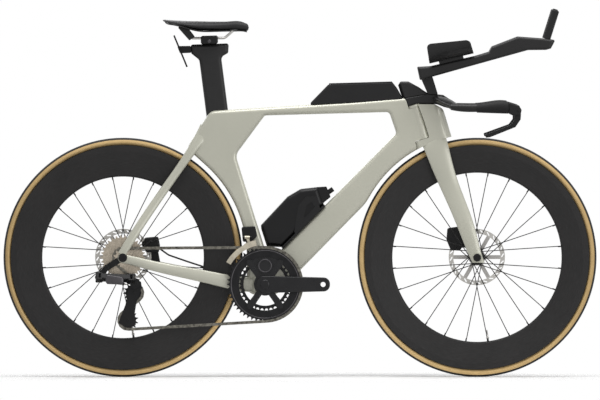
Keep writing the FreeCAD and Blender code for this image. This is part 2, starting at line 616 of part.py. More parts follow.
def makeFrame():
    hole = rounded([(frameSpot(pixel), getattr(s, corner)) for pixel, corner in holePixels])
    core = plate("frame_core", [frameOutline(), hole], "tube_width", "tube_edge")
    halfShell = s.bracket_shell_width / 2
    limbs = [core, steerRod("head_tube", "head_radius", s.head_bottom, headTop)]
    limbs.append(crossRod("bracket_shell", "bracket_shell_radius", bracket, -halfShell, halfShell))
    reach = rearCaps + s.overrun
    cuts = [
        steerRod("crown_room", "crown_radius + steer_gap", s.head_bottom - s.head_length, s.head_bottom),
        steerRod("stem_room", "stem_radius + steer_gap", headTop, headTop + s.head_length),
        steerRod("head_bore", "steerer_radius + headset_lip", s.head_bottom - s.overrun, headTop + s.overrun),
        steerRod("lower_seat", "headset_radius", s.head_bottom - s.overrun, s.head_bottom + s.headset_height),
        steerRod("upper_seat", "headset_radius", headTop - s.headset_height, headTop + s.overrun),
        crossRod("bracket_opening", "bracket_bore", bracket, -halfShell - s.overrun, halfShell + s.overrun),
        crossRod("axle_opening", "axle_radius + bearing_gap", rearAxle, -reach, reach),
        crossRod("hanger_room", "dropout_radius * 2", rearAxle, -rearCaps - s.hanger_thick, s.overrun - rearCaps),
        crossRod("left_cap_room", "dropout_radius * 2", rearAxle, rearCaps - s.overrun, rearCaps),
        postPlate("post_socket", s.post_gap, s.post_insert + s.post_room, "post_width + post_gap * 2"),
    ]
    whole = joined("frame_whole", limbs)
    pieces = [trimmed("main_frame", whole, cuts)]
    for side, hand in sides:
        seatstay, chainstay, dropout = makeStays(side, hand)
        lower = joined(hand + "_lower_stay", [chainstay, dropout])
        pieces.append(trimmed(hand + "_lower_stay_end", lower, [whole] + cuts))
        pieces.append(trimmed(hand + "_seatstay_end", seatstay, [whole, lower] + cuts))
    keep(grouped("frame", pieces), "frame")
    rings = []
    for label, low in (("lower", s.head_bottom), ("upper", headTop - s.headset_height)):
        race = steerRod(label + "_race", "headset_radius", low, low + s.headset_height)
        bore = steerRod(label + "_bore", "steerer_radius + bearing_gap", low - s.overrun, low + s.overrun)
        rings.append(trimmed(label + "_bearing", race, [bore]))
    keep(grouped("headset_bearings", rings), "headset_bearings")
    cups = []
    for side, hand in sides:
        inner = tube(hand + "_cup_body", "bracket_bore", "spindle_radius + spindle_gap", bracket,
                     *sorted((side * (halfShell - s.cup_flange_width * 2), side * halfShell)))
        rim = tube(hand + "_cup_rim", "cup_flange", "spindle_radius + spindle_gap", bracket,
                   *sorted((side * halfShell, side * (halfShell + s.cup_flange_width))))
        cups.append(joined(hand + "_cup", [inner, rim]))
    keep(grouped("bottom_bracket", cups), "bottom_bracket")


# Seat

postMouthPixel = (216.8, 113)
clampFootPixel = (209, 44.1)
postHeadPixels = ((190, 44.7), (228.4, 43.4), (227.9, 53), (190.8, 53.6))
clampPixels = ((200.4, 36), (217.6, 35.5), (217.6, 43.8), (200.4, 44.4))
bracketPixels = ((176.8, 46.2), (190.1, 46), (190.8, 53), (179.6, 53.4))
platePixels = ((173.6, 35.5), (186.7, 67.1))
strutPixels = ((176, 26), (188.5, 29), (194.6, 37), (189, 40.6))
railPixels = ((191.5, 38.3), (224.5, 38.1), (232.5, 31))
saddleTailPixel = (162.5, 43.9)
saddleNosePixel = (248.4, 43.9)
# along the saddle: pixel column, top row, edge row, lower row, and half-width as a share of the length
saddleStations = ((164.5, 19.6, 20.6, 22.6, 0.13), (172, 20.3, 22.6, 25.4, 0.245), (183, 20.9, 25, 28, 0.285),
                  (196, 21.2, 27, 31.4, 0.255), (210, 21.4, 28, 32.2, 0.175), (224, 21.3, 28, 31.8, 0.125),
                  (237, 21, 28, 31.6, 0.1), (246.6, 24.5, 29, 32.6, 0.07))
# where the crown ends on each section: share of the half-width, and share of the way down to the edge
saddleShoulderShares = (0.72, 0.28)
saddleBulgeShare = 0.18
# the underside's width as a share of the section's, for the whole saddle and above the shell
saddleTuckShares = (0.78, 0.98)
# how far the body that parts cover from shell reaches outside it: share of the width, and times the shell
saddleUpperShares = (1.2, 4)
plateHoleShares = (-0.5, 0.5)
postMouth = frameSpot(postMouthPixel)
postDown = -1j * polar(s.seat_lean)
clampFoot = frameSpot(clampFootPixel)
pixelsPerLength = s.saddle_length / (saddleNosePixel[0] - saddleTailPixel[0])
saddleSpot = photoMap(clampFootPixel, (saddleNosePixel[0], clampFootPixel[1]), clampFoot,
                      clampFoot + pixelsPerLength * (saddleNosePixel[0] - clampFootPixel[0]))


# the straight part of the post that slides in its socket, grown by a gap
def postPlate(name, gap, insert, width):
    half = (s.post_depth / 2 + gap) * postDown * 1j
    top = postMouth - postDown * s.overrun
    foot = postMouth + postDown * insert
    corners = [(top - half, 0), (top + half, 0), (foot + half, s.post_corner), (foot - half, s.post_corner)]
    return plate(name, [rounded(corners)], width, "post_edge")


def makeSeatpost():
    half = s.post_depth / 2 * postDown * 1j
    neck = postMouth - postDown * s.post_exposed
    foot = postMouth + postDown * s.post_insert
    head = [(frameSpot(pixel), s.post_head_corner) for pixel in postHeadPixels]
    shaft = [(neck + half, s.post_neck_corner), (foot + half, s.post_corner), (foot - half, s.post_corner),
             (neck - half, s.post_neck_corner)]
    outline = rounded(head[:3] + shaft + head[3:])
    keep(plate("seatpost", [outline], "post_width", "post_edge"), "seatpost")


def makeAccessoryMount():
    arm = plate("accessory_arm", [pixelLoop(frameSpot, bracketPixels, s.bracket_corner)], "bracket_width")
    top, low = [frameSpot(pixel) for pixel in platePixels]
    along = unit(low - top)
    middle = (top + low) / 2
    ends = (middle - along * s.plate_length / 2, middle + along * s.plate_length / 2)
    across = 1j * along * s.plate_thick / 2
    corners = [ends[0] + across, ends[1] + across, ends[1] - across, ends[0] - across]
    board = plate("accessory_board", [rounded([(corner, 0) for corner in corners])], "plate_width")
    armEnd = trimmed("accessory_arm_end", arm, [board, doc.getObject("seatpost")])
    holes = []
    for number, share in enumerate(plateHoleShares):
        centre = spot(middle + along * s.plate_hole_gap * share)
        reach = spot(1j * along * s.plate_thick)
        holes.append(rod("accessory_hole%d" % number, "plate_hole", centre - reach, centre + reach))
    boardEnd = trimmed("accessory_plate_body", board, holes)
    keep(grouped("accessory_bracket", [armEnd, boardEnd]), "accessory_bracket")


# a cross-section of the saddle: crowned top, drawn-in sides and a flat underside
def saddleSection(column, topRow, edgeRow, lowRow, half, tuck):
    x = saddleSpot((column, 0)).real
    top, edge, low = [saddleSpot((column, row)).imag for row in (topRow, edgeRow, lowRow)]
    wideShare, dropShare = saddleShoulderShares
    shoulder = complex(half * wideShare, top - (top - edge) * dropShare)
    rim = complex(half, edge)
    bulge = (shoulder + rim) / 2 + 1j * (rim - shoulder) * saddleBulgeShare
    foot = complex(half * tuck, low)
    right = [FreeCAD.Vector(x, point.real, point.imag) for point in (shoulder, bulge, rim, foot)]
    left = [FreeCAD.Vector(x, -point.real, point.imag) for point in (shoulder, bulge, rim, foot)]
    edges = [
        Part.Arc(left[0], FreeCAD.Vector(x, 0, top), right[0]).toShape(),
        Part.Arc(right[0], right[1], right[2]).toShape(),
        Part.LineSegment(right[2], right[3]).toShape(),
        Part.LineSegment(right[3], left[3]).toShape(),
        Part.LineSegment(left[3], left[2]).toShape(),
        Part.Arc(left[2], left[1], left[0]).toShape(),
    ]
    return Part.Wire(edges)


def makeSaddle():
    coverTuckShare, shellTuckShare = saddleTuckShares
    wideShare, riseShare = saddleUpperShares
    whole = [saddleSection(column, top, edge, low, share * s.saddle_length, coverTuckShare)
             for column, top, edge, low, share in saddleStations]
    body = Part.makeLoft(whole, True)
    drop = s.saddle_shell_thick / pixelsPerLength
    raised = [saddleSection(column, top - drop * riseShare, edge - drop, low - drop,
                            share * s.saddle_length * wideShare, shellTuckShare)
              for column, top, edge, low, share in saddleStations]
    upper = Part.makeLoft(raised, True)
    cover = solid("saddle_cover", body.common(upper))
    under = solid("saddle_under", body.cut(upper))
    struts = []
    for side, hand in sides:
        outline = pixelLoop(saddleSpot, strutPixels, s.strut_corner)
        strut = plate(hand + "_strut", [outline], "strut_width", "strut_edge", "%d * rail_place" % side)
        struts.append(trimmed(hand + "_strut_end", strut, [solid(hand + "_strut_cut", body)]))
    keep(cover, "saddle_cover")
    rails = []
    for side, hand in sides:
        points = [spot(saddleSpot(pixel), side * s.rail_place) for pixel in railPixels]
        rail = bentRod(hand + "_rail_rod", points, s.rail_radius, s.rail_bend)
        rails.append(trimmed(hand + "_rail", rail, [solid(hand + "_rail_cut", body), struts[0 if side < 0 else 1]]))
    keep(grouped("saddle_shell", [under] + struts), "saddle_shell")
    keep(grouped("saddle_rails", rails), "saddle_rails")
    clamp = plate("clamp_block", [pixelLoop(saddleSpot, clampPixels, s.clamp_corner)], "clamp_width", "clamp_edge")
    grooves = []
    for side, hand in sides:
        start, end = [spot(saddleSpot(pixel), side * s.rail_place) for pixel in railPixels[:2]]
        run = (end - start).normalize() * s.overrun
        grooves.append(rod(hand + "_groove", "rail_radius + rail_gap", start - run, end + run))
    keep(trimmed("saddle_clamp", clamp, grooves + [doc.getObject("seatpost")]), "saddle_clamp")


# Fork

bladePixels = (((444, 133), (421, 143.5), "blade_root_place"),
               ((448.6, 149), (425, 153), "blade_crown_place"),
               ((453.6, 169), (432.4, 171), "blade_upper_place"),
               ((464.8, 200.7), (446, 201.5), "blade_middle_place"),
               ((475.2, 231), (458.7, 231.6), "blade_lower_place"),
               ((484, 262.5), (471.9, 262.5), "blade_tip_place"))
noseTopPixels = ((417.5, 104.4), (434.5, 104.4))
noseFrontPixels = ((442.6, 109), (450, 132.5))
noseArchDegrees = (104, 120)


def makeFork():
    arch = s.tyre_radius + s.front_arch_gap
    crownTop = s.head_bottom - s.crown_gap
    rear = frontAxle + polar(noseArchDegrees[1]) * arch
    lip = frontAxle + polar(noseArchDegrees[0]) * arch
    brow, snout = [forkSpot(pixel) for pixel in noseFrontPixels]
    chin = lineCross(lip, 1j * polar(noseArchDegrees[0]), brow, snout - brow)
    tail = rear + 1j * polar(noseArchDegrees[1]) * s.seam_corner
    headMiddleAlong = s.head_bottom + s.head_length / 2
    outline = rounded([
        (tail, 0), (steer(-s.crown_radius - s.seam_corner, crownTop), 0), (steer(s.wing_edge, crownTop), s.seam_corner),
        (steer(s.wing_edge, headMiddleAlong), s.nose_front_corner), (steer(s.wing_top_edge, headTop), 0),
        (forkSpot(noseTopPixels[0]), 0), (forkSpot(noseTopPixels[1]), s.nose_corner), (brow, s.nose_corner),
        (chin, 0), archCorner(frontAxle, arch, *noseArchDegrees),
    ])
    core = plate("nose_core", [outline], "nose_width")
    tipAhead = ((brow - steer(0, 0)) / steerAhead).real
    half = s.nose_width / 2
    front = Part.Face(Part.Wire([curve.toShape() for curve in rounded([
        (complex(-s.overrun, -half), 0), (complex(tipAhead, -half), s.nose_edge),
        (complex(tipAhead, half), s.nose_edge), (complex(-s.overrun, half), 0),
    ])]))
    prism = solid("nose_round", front.extrude(upward * (s.head_length * 3)))
    prism.Placement = FreeCAD.Placement(spot(steer(0, s.head_bottom - s.head_length)), steerTurn)
    nose = trimmed("nose", chained("Part::Common", "nose_blank", [core, prism]), [
        steerRod("head_room", "head_radius + nose_gap", crownTop - s.cover_gap, s.steerer_top),
        behindSteering("crown_rear", "crown_radius"),
    ])
    steerer = steerRod("steerer", "steerer_radius", crownTop - s.seam_corner, s.steerer_top)
    whole = joined("fork_whole", [nose, steerer])
    reach = frontCaps + s.overrun
    cuts = [
        crossRod("front_axle_opening", "axle_radius + bearing_gap", frontAxle, -reach, reach),
        crossRod("front_cap_room", "fork_drop_radius * 2", frontAxle, -frontCaps, frontCaps),
    ]
    pieces = [whole]
    last = len(bladePixels) - 1
    for side, hand in sides:
        wires = []
        for number, (front, back, place) in enumerate(bladePixels):
            width = s.blade_width + (s.blade_tip_width - s.blade_width) * number / last
            middle = (forkSpot(front) + forkSpot(back)) / 2
            centre = spot(middle, side * getattr(s, place))
            wires.append(oval(centre, spot(forkSpot(front) - middle), leftward * (width / 2)))
        ends = sorted((side * frontCaps, side * (frontCaps + s.fork_drop_thick)))
        limbs = [loft(hand + "_blade", wires), crossRod(hand + "_fork_end", "fork_drop_radius", frontAxle, *ends)]
        pieces.append(trimmed(hand + "_blade_end", joined(hand + "_blade_whole", limbs), [whole] + cuts))
    disc = steerRod("cover_disc", "head_radius + nose_gap - cover_gap", headTop + s.cover_gap, coverTop)
    bore = steerRod("cover_bore", "steerer_radius + bearing_gap", headTop - s.overrun, coverTop + s.overrun)
    cover = trimmed("top_cover", disc, [bore])
    keep(grouped("fork", pieces + [cover]), "fork")


# Stem, base bar and levers

stemTopPixels = ((402, 98), (428, 93.6), (442.6, 95), (457.4, 104.6))
stemLowPixels = ((451.5, 109.2), (443, 107), (436.4, 104.4))
fairingPixels = ((397, 86.4), (399.9, 81.6), (407.9, 81.6), (418.2, 87.2), (423, 90.6))
# across the bar: share of the reach, pixel column and row of the middle, and shares of chord and thickness
wingStations = ((0, 440, 100.3, 1, 1), (0.32, 443.5, 101.2, 1, 0.95), (0.62, 448.5, 103.6, 0.92, 0.9),
                (0.86, 454, 106.6, 0.75, 0.86), (1.02, 458, 107.7, 0.55, 0.82))
# along the grips: pixel column and row of the middle, and share of the tube's radius
pursuitStations = ((449.5, 106.6, 0.75), (462, 107.5, 1), (480, 107.5, 1), (498, 106.9, 1), (510, 107.6, 1))
gripStations = ((475.6, 107.8, 1.14, 1.14), (485, 107.5, 1.3, 1.2), (496, 106.9, 1.56, 1.3),
                (507, 107.2, 1.55, 1.28))
# a little less than round, so that the long and the short way stay told apart
tubeWidthShare = 0.999
fairingFootPixel = (412, 90)
leverBodyPixels = ((507.2, 101.8), (517.6, 105), (520.2, 109.5), (519, 115), (512.6, 115.6), (507.2, 113.2))
leverPivotPixel = (516.2, 110.6)
leverPixels = ((519.6, 113), (519.2, 119), (514, 126.6), (489, 136.6), (484.6, 137.2), (483.8, 134),
               (509, 124.8), (513, 119.4), (512.9, 111.5))
slotPixels = ((508.4, 105.6), (524, 105.6), (524, 120), (508.4, 120))


def makeBaseBar():
    tail = steer(-s.stem_radius - s.stem_edge, coverTop)
    outline = rounded([(forkSpot(pixel), s.stem_corner) for pixel in stemTopPixels + stemLowPixels]
                      + [(steer(s.wing_edge / 2, coverTop), s.stem_corner), (tail, s.stem_corner)])
    block = plate("stem_block", [outline], "stem_width", "stem_edge",
                  chosen=lambda point: point.z > forkSpot(noseTopPixels[0]).imag + s.stem_corner)
    limbs = [trimmed("stem", block, [behindSteering("stem_rear", "stem_radius")])]
    wires = []
    for share, column, row, chord, thick in reversed(wingStations[1:]):
        wires.append(wingOval(-share, column, row, chord, thick))
    wires += [wingOval(*station) for station in wingStations]
    limbs.append(loft("wing", wires))
    tubes = []
    for side, hand in sides:
        wires = [pursuitOval(side, column, row, share, share) for column, row, share in pursuitStations]
        tubes.append(loft(hand + "_pursuit", wires))
    whole = joined("base_bar_whole", limbs + tubes)
    keep(trimmed("base_bar", whole, [
        steerRod("steerer_hole", "steerer_radius + bearing_gap", coverTop - s.overrun, s.steerer_top),
        steerRod("cover_room", "head_radius + nose_gap", coverTop - s.overrun, coverTop),
    ]), "base_bar")
    fairing = rounded([(forkSpot(pixel), s.fairing_corner / 2) for pixel in fairingPixels]
                      + [(forkSpot(stemTopPixels[1]), 0), (forkSpot(stemTopPixels[0]), 0)])
    hump = plate("fairing_block", [fairing], "fairing_width", "fairing_edge",
                 chosen=lambda point: point.z > forkSpot(fairingFootPixel).imag)
    keep(trimmed("stem_fairing", hump, [behindSteering("fairing_rear", "stem_radius"), limbs[0]]), "stem_fairing")
    return tubes


def wingOval(share, column, row, chord, thick):
    middle = spot(forkSpot((column, row)), share * s.bar_reach)
    tilt = polar(wingTiltDegrees)
    return oval(middle, spot(tilt) * (s.wing_chord / 2 * chord), spot(tilt * 1j) * (s.wing_thick / 2 * thick))


def pursuitOval(side, column, row, high, wide):
    middle = spot(forkSpot((column, row)), side * s.bar_reach)
    across = s.pursuit_radius * wide * tubeWidthShare
    return oval(middle, upward * (s.pursuit_radius * high), leftward * across)


def makeGrips(tubes):
    grips = []
    for (side, hand), core in zip(sides, tubes):
        sleeve = loft(hand + "_sleeve", [pursuitOval(side, *station) for station in gripStations])
        grips.append(trimmed(hand + "_grip", sleeve, [core]))
        place = "%d * bar_reach" % side
        shell = plate(hand + "_lever_shell", [pixelLoop(forkSpot, leverBodyPixels, s.lever_body_corner / 2)],
                      "lever_body_width", "lever_body_edge", place)
        slot = plate(hand + "_lever_slot", [pixelLoop(forkSpot, slotPixels, 0)], "lever_thick + lever_gap * 2", "",
                     place)
        half = s.lever_body_width / 2 - s.lever_edge
        pin = crossRod(hand + "_lever_pin", "lever_pin", forkSpot(leverPivotPixel), side * s.bar_reach - half,
                       side * s.bar_reach + half)
        hollow = trimmed(hand + "_lever_hollow", shell, [slot, core])
        grips.append(joined(hand + "_lever_body", [hollow, pin]))
        lever = plate(hand + "_lever_plate", [pixelLoop(forkSpot, leverPixels, s.lever_corner / 2)], "lever_thick",
                      "lever_edge", place)
        hub = crossRod(hand + "_lever_hub", "lever_hub", forkSpot(leverPivotPixel),
                       side * s.bar_reach - s.lever_thick / 2, side * s.bar_reach + s.lever_thick / 2)
        hole = crossRod(hand + "_lever_hole", "lever_pin + bearing_gap", forkSpot(leverPivotPixel),
                        side * s.bar_reach - s.overrun, side * s.bar_reach + s.overrun)
        name = "brake_lever_" + hand
        keep(trimmed(name, joined(hand + "_lever_whole", [lever, hub]), [hole]), name)
    keep(grouped("bar_grips", grips), "bar_grips")


# Forearm rests

riserPixels = ((421, 80), (432, 77), (437.4, 94.6), (427.2, 93.9))
bridgePixels = ((417.4, 67.5), (430.6, 67.5), (432.4, 76.8), (420.6, 80.2))
extensionPixels = ((416.6, 67), (430, 66.3), (474, 56.1), (488, 51.9), (491, 46.6), (517, 36.6),
                   (541.6, 38.4), (554.5, 40), (550, 48.6), (545, 50), (527, 50.2), (419.4, 80.2))
extensionCornerShares = (0.25, 1, 1, 0.3, 0.5, 1, 1, 0.35, 0.3, 0.3, 1, 0.25)
gripRootPixel = (545.6, 39)
cupFootPixel = (451, 61.4)
cupRunPixels = ((430, 66.3), (474, 56.1))
cupSidePixels = ((426.3, 44.4), (468.8, 40.1), (478, 70), (432, 84))


def makeForearmRests():
    post = plate("riser_post", [pixelLoop(forkSpot, riserPixels, s.riser_corner)], "riser_width")
    bridge = plate("riser_bridge", [pixelLoop(forkSpot, bridgePixels, s.riser_corner)],
                   "extension_place * 2 - extension_width")
    below = [doc.getObject(name) for name in ("stem", "wing", "stem_fairing")]
    keep(grouped("riser", [trimmed("riser_foot", post, [bridge] + below), bridge]), "riser")
    lean = polar(90 - s.grip_lean)
    root = forkSpot(gripRootPixel)
    arms, handles = [], []
    for side, hand in sides:
        place = "%d * extension_place" % side
        across = side * s.extension_place
        corners = [(forkSpot(pixel), s.extension_corner * share)
                   for pixel, share in zip(extensionPixels, extensionCornerShares)]
        arm = plate(hand + "_extension", [rounded(corners)], "extension_width", "extension_edge", place)
        arms.append(arm)
        tip = root + lean * s.grip_length
        handle = rod(hand + "_handle", "grip_tube_radius", spot(root, across), spot(tip, across))
        doc.recompute()
        cap = doc.addObject("Part::Fillet", hand + "_handle_cap")
        cap.Base = handle
        ring = [number for number, border in enumerate(handle.Shape.Edges, 1)
                if abs(border.BoundBox.Center.z - tip.imag) < s.grip_round][0]
        cap.Edges = [(ring, s.grip_round, s.grip_round)]
        pocket = rod(hand + "_button_room", "button_radius + button_gap", spot(tip - lean * s.button_height, across),
                     spot(tip + lean * s.overrun, across))
        handles.append(trimmed(hand + "_handle_end", cap, [arm, pocket]))
        low = tip + lean * (s.button_room - s.button_height)
        button = rod(hand + "_button", "button_radius", spot(low, across), spot(low + lean * s.button_height, across))
        keep(button, "shift_button_" + hand)
    keep(grouped("extensions", arms), "extensions")
    keep(grouped("extension_grips", handles), "extension_grips")
    makeCups()


# a trough that a forearm lies in, on a foot that stands on the extension, with its pad
def makeCups():
    start, end = [forkSpot(pixel) for pixel in cupRunPixels]
    along = unit(end - start)
    lift = 1j * along
    foot = forkSpot(cupFootPixel)
    outline = plate("cup_outline", [pixelLoop(forkSpot, cupSidePixels, s.cup_corner)],
                    "(extension_place + cup_outset + cup_radius * 2) * 2")
    cups, pads = [], []
    for side, hand in sides:
        back = spot(foot - along * s.cup_length / 2, side * (s.extension_place + s.cup_outset))
        axis = back + spot(lift) * (s.cup_foot + s.cup_radius)
        shell = trough(axis, along, side, s.cup_radius, s.cup_radius - s.cup_wall, -s.cup_inner_rise, s.cup_rise,
                       s.cup_length).common(outline.Shape)
        footBack = spot(foot - along * s.cup_foot_length / 2, side * s.extension_place - s.cup_foot_width / 2)
        block = Part.makeBox(s.cup_foot_length, s.cup_foot_width, s.cup_foot * 2)
        turn = FreeCAD.Rotation(leftward, -math.degrees(cmath.phase(along)))
        block.Placement = FreeCAD.Placement(footBack, turn)
        inside = Part.makeCylinder(s.cup_radius - s.cup_wall / 2, s.cup_length, axis, spot(along))
        cup = shell.fuse(block.cut(inside))
        cups.append(solid(hand + "_cup_shell", cup))
        inset = math.degrees(s.pad_inset / s.cup_radius)
        outer = s.cup_radius - s.cup_wall - s.soft_gap
        padAxis = axis + spot(along) * ((s.cup_length - s.pad_length) / 2)
        pad = trough(padAxis, along, side, outer, outer - s.pad_depth, inset - s.cup_inner_rise, s.pad_rise,
                     s.pad_length)
        pads.append(solid(hand + "_pad", pad.makeFillet(s.pad_round, pad.Edges)))
    keep(grouped("arm_cups", cups), "arm_cups")
    keep(grouped("arm_pads", pads), "arm_pads")


# a curved wall about an axis, from an inner rise to an outer rise in degrees from straight down
def trough(axis, along, side, outer, inner, first, last, length):
    down = spot(-1j * along)
    out = leftward * side

    def rim(radius, degrees):
        turn = math.radians(degrees)
        return axis + down * (radius * math.cos(turn)) + out * (radius * math.sin(turn))

    middle = (first + last) / 2
    edges = [
        Part.Arc(rim(outer, first), rim(outer, middle), rim(outer, last)).toShape(),
        Part.LineSegment(rim(outer, last), rim(inner, last)).toShape(),
        Part.Arc(rim(inner, last), rim(inner, middle), rim(inner, first)).toShape(),
        Part.LineSegment(rim(inner, first), rim(outer, first)).toShape(),
    ]
    return Part.Face(Part.Wire(edges)).extrude(spot(along) * length)


# Brakes

rearCaliperPixels = ((143.4, 238), (157.6, 236.8), (159.4, 246), (158, 253.5), (144.6, 252.6))
rearFootPixels = ((147, 248), (157, 249), (160, 265.5), (149, 263.5))
frontCaliperPixels = ((447, 228.4), (458.2, 226.8), (463.6, 241), (460.4, 250.4), (450.4, 250.8), (446, 240))
frontFootPixels = ((455, 228), (465, 226), (470, 246), (459, 249))
rearHosePixels = (((158.4, 248.6), 0.95), ((168, 255.4), 0.9), ((186, 261.6), 0.78), ((207, 268.4), 0.62))
rearPadPixel = (144.8, 244.6)
frontPadPixel = (456.8, 241.2)


def makeCaliper(name, place, pixels, footPixels, padPixel, across, footPlace, rotorCentre, rests):
    block = plate(name + "_block", [pixelLoop(place, pixels, s.caliper_corner)], "caliper_width", "caliper_edge",
                  across)
    foot = plate(name + "_foot", [pixelLoop(place, footPixels, 0)], "foot_width", "", footPlace)
    middle = getattr(s, across)
    slot = crossRod(name + "_slot", "rotor_radius + caliper_slot", rotorCentre, middle - s.caliper_slot / 2,
                    middle + s.caliper_slot / 2)
    body = trimmed(name + "_body", joined(name + "_whole", [block, foot]), [slot] + rests)
    pads = []
    for side, hand in sides:
        inner = s.caliper_slot / 2 - s.pad_thick
        ends = sorted((middle + side * inner, middle + side * s.caliper_slot / 2))
        pads.append(crossRod(name + "_" + hand + "_pad", "pad_size / 2", place(padPixel), *ends))
    keep(grouped(name, [body] + pads), name)


def makeBrakes():
    makeCaliper("rear_caliper", staySpot, rearCaliperPixels, rearFootPixels, rearPadPixel, "rear_rotor_place",
                "chainstay_rear_place", rearAxle, [doc.getObject("left_chainstay")])
    makeCaliper("front_caliper", forkSpot, frontCaliperPixels, frontFootPixels, frontPadPixel, "front_rotor_place",
                "blade_lower_place", frontAxle, [doc.getObject("left_blade")])
    points = [spot(staySpot(pixel), s.rear_rotor_place * share) for pixel, share in rearHosePixels]
    hose = bentRod("hose_rod", points, s.hose_radius, s.hose_bend)
    rests = [doc.getObject("left_chainstay"), doc.getObject("rear_caliper_body")]
    keep(trimmed("rear_brake_hose", hose, rests), "rear_brake_hose")


# Chainset, cassette and chain

def pitchRadius(teeth):
    return s.pitch / (2 * math.sin(math.pi / teeth))


# a toothed outline whose gaps seat the chain's rollers
def toothedFace(teeth, phase):
    radius = pitchRadius(teeth)
    seat = s.roller_radius + s.seat_play
    tip = radius + s.tooth_height
    halfTip = s.tooth_tip / 2 / tip
    flank = math.radians(seatFlankDegrees)
    edges = []
    corners = []
    for number in range(teeth):
        gap = cmath.exp(1j * (phase + 2 * math.pi * number / teeth))
        centre = radius * gap
        low = centre - gap * cmath.exp(1j * flank) * seat
        high = centre - gap * cmath.exp(-1j * flank) * seat
        first = tip * gap * cmath.exp(1j * (math.pi / teeth - halfTip))
        second = tip * gap * cmath.exp(1j * (math.pi / teeth + halfTip))
        corners.append((low, centre - gap * seat, high, first, second))
    for (low, deep, high, first, second), following in zip(corners, corners[1:] + corners[:1]):
        edges.append(Part.Arc(spot(low), spot(deep), spot(high)).toShape())
        edges.append(Part.LineSegment(spot(high), spot(first)).toShape())
        edges.append(Part.LineSegment(spot(first), spot(second)).toShape())
        edges.append(Part.LineSegment(spot(second), spot(following[0])).toShape())
    return Part.Face(Part.Wire(edges))


# a toothed disc across the bike, centred on a place along Y
def sprocket(teeth, phase, centre, place, thick, bore):
    disc = toothedFace(teeth, phase).extrude(leftward * thick)
    hole = Part.makeCylinder(bore, thick + 2 * s.overrun, -leftward * s.overrun, leftward)
    disc = disc.cut(hole)
    disc.translate(spot(centre, place - thick / 2))
    return disc


spiderDegrees = (54.5, 125.5, 235.5, 305.5)
# round the panel that closes the upper window of the spider
panelDegrees = (54.5, 72, 90, 108, 125.5)
armRoundShare = 0.93
# a cog gets lightening holes where its web is this many times as deep as a hole's radius
cogWebShare = 5


# a chainring: a toothed band with tabs inward to the bolts
def chainring(teeth, phase, place, band):
    radius = pitchRadius(teeth)
    ring = sprocket(teeth, phase, bracket, place, s.ring_thick, radius - band)
    low = place - s.ring_thick / 2
    for degrees in spiderDegrees:
        inner = spot(bracket + polar(degrees) * s.bolt_circle)
        outer = spot(bracket + polar(degrees) * (radius - band))
        tab = slab(inner, outer, s.tab_radius, leftward, low, low + s.ring_thick)
        hole = Part.makeCylinder(s.ring_bolt_radius + s.bearing_gap, s.overrun * 2,
                                 inner - leftward * s.overrun * 2, leftward)
        ring = ring.fuse(tab).cut(hole)
    return ring


# a tapered arm between a root and a tip
def armLoop(root, tip, rootRadius, tipRadius):
    along = unit(tip - root)
    corners = []
    for point, radius, sign in ((root, rootRadius, -1), (tip, tipRadius, 1)):
        for side in (sign, -sign):
            corners.append((point + along * radius * sign + 1j * along * radius * side, radius * armRoundShare))
    return rounded(corners)


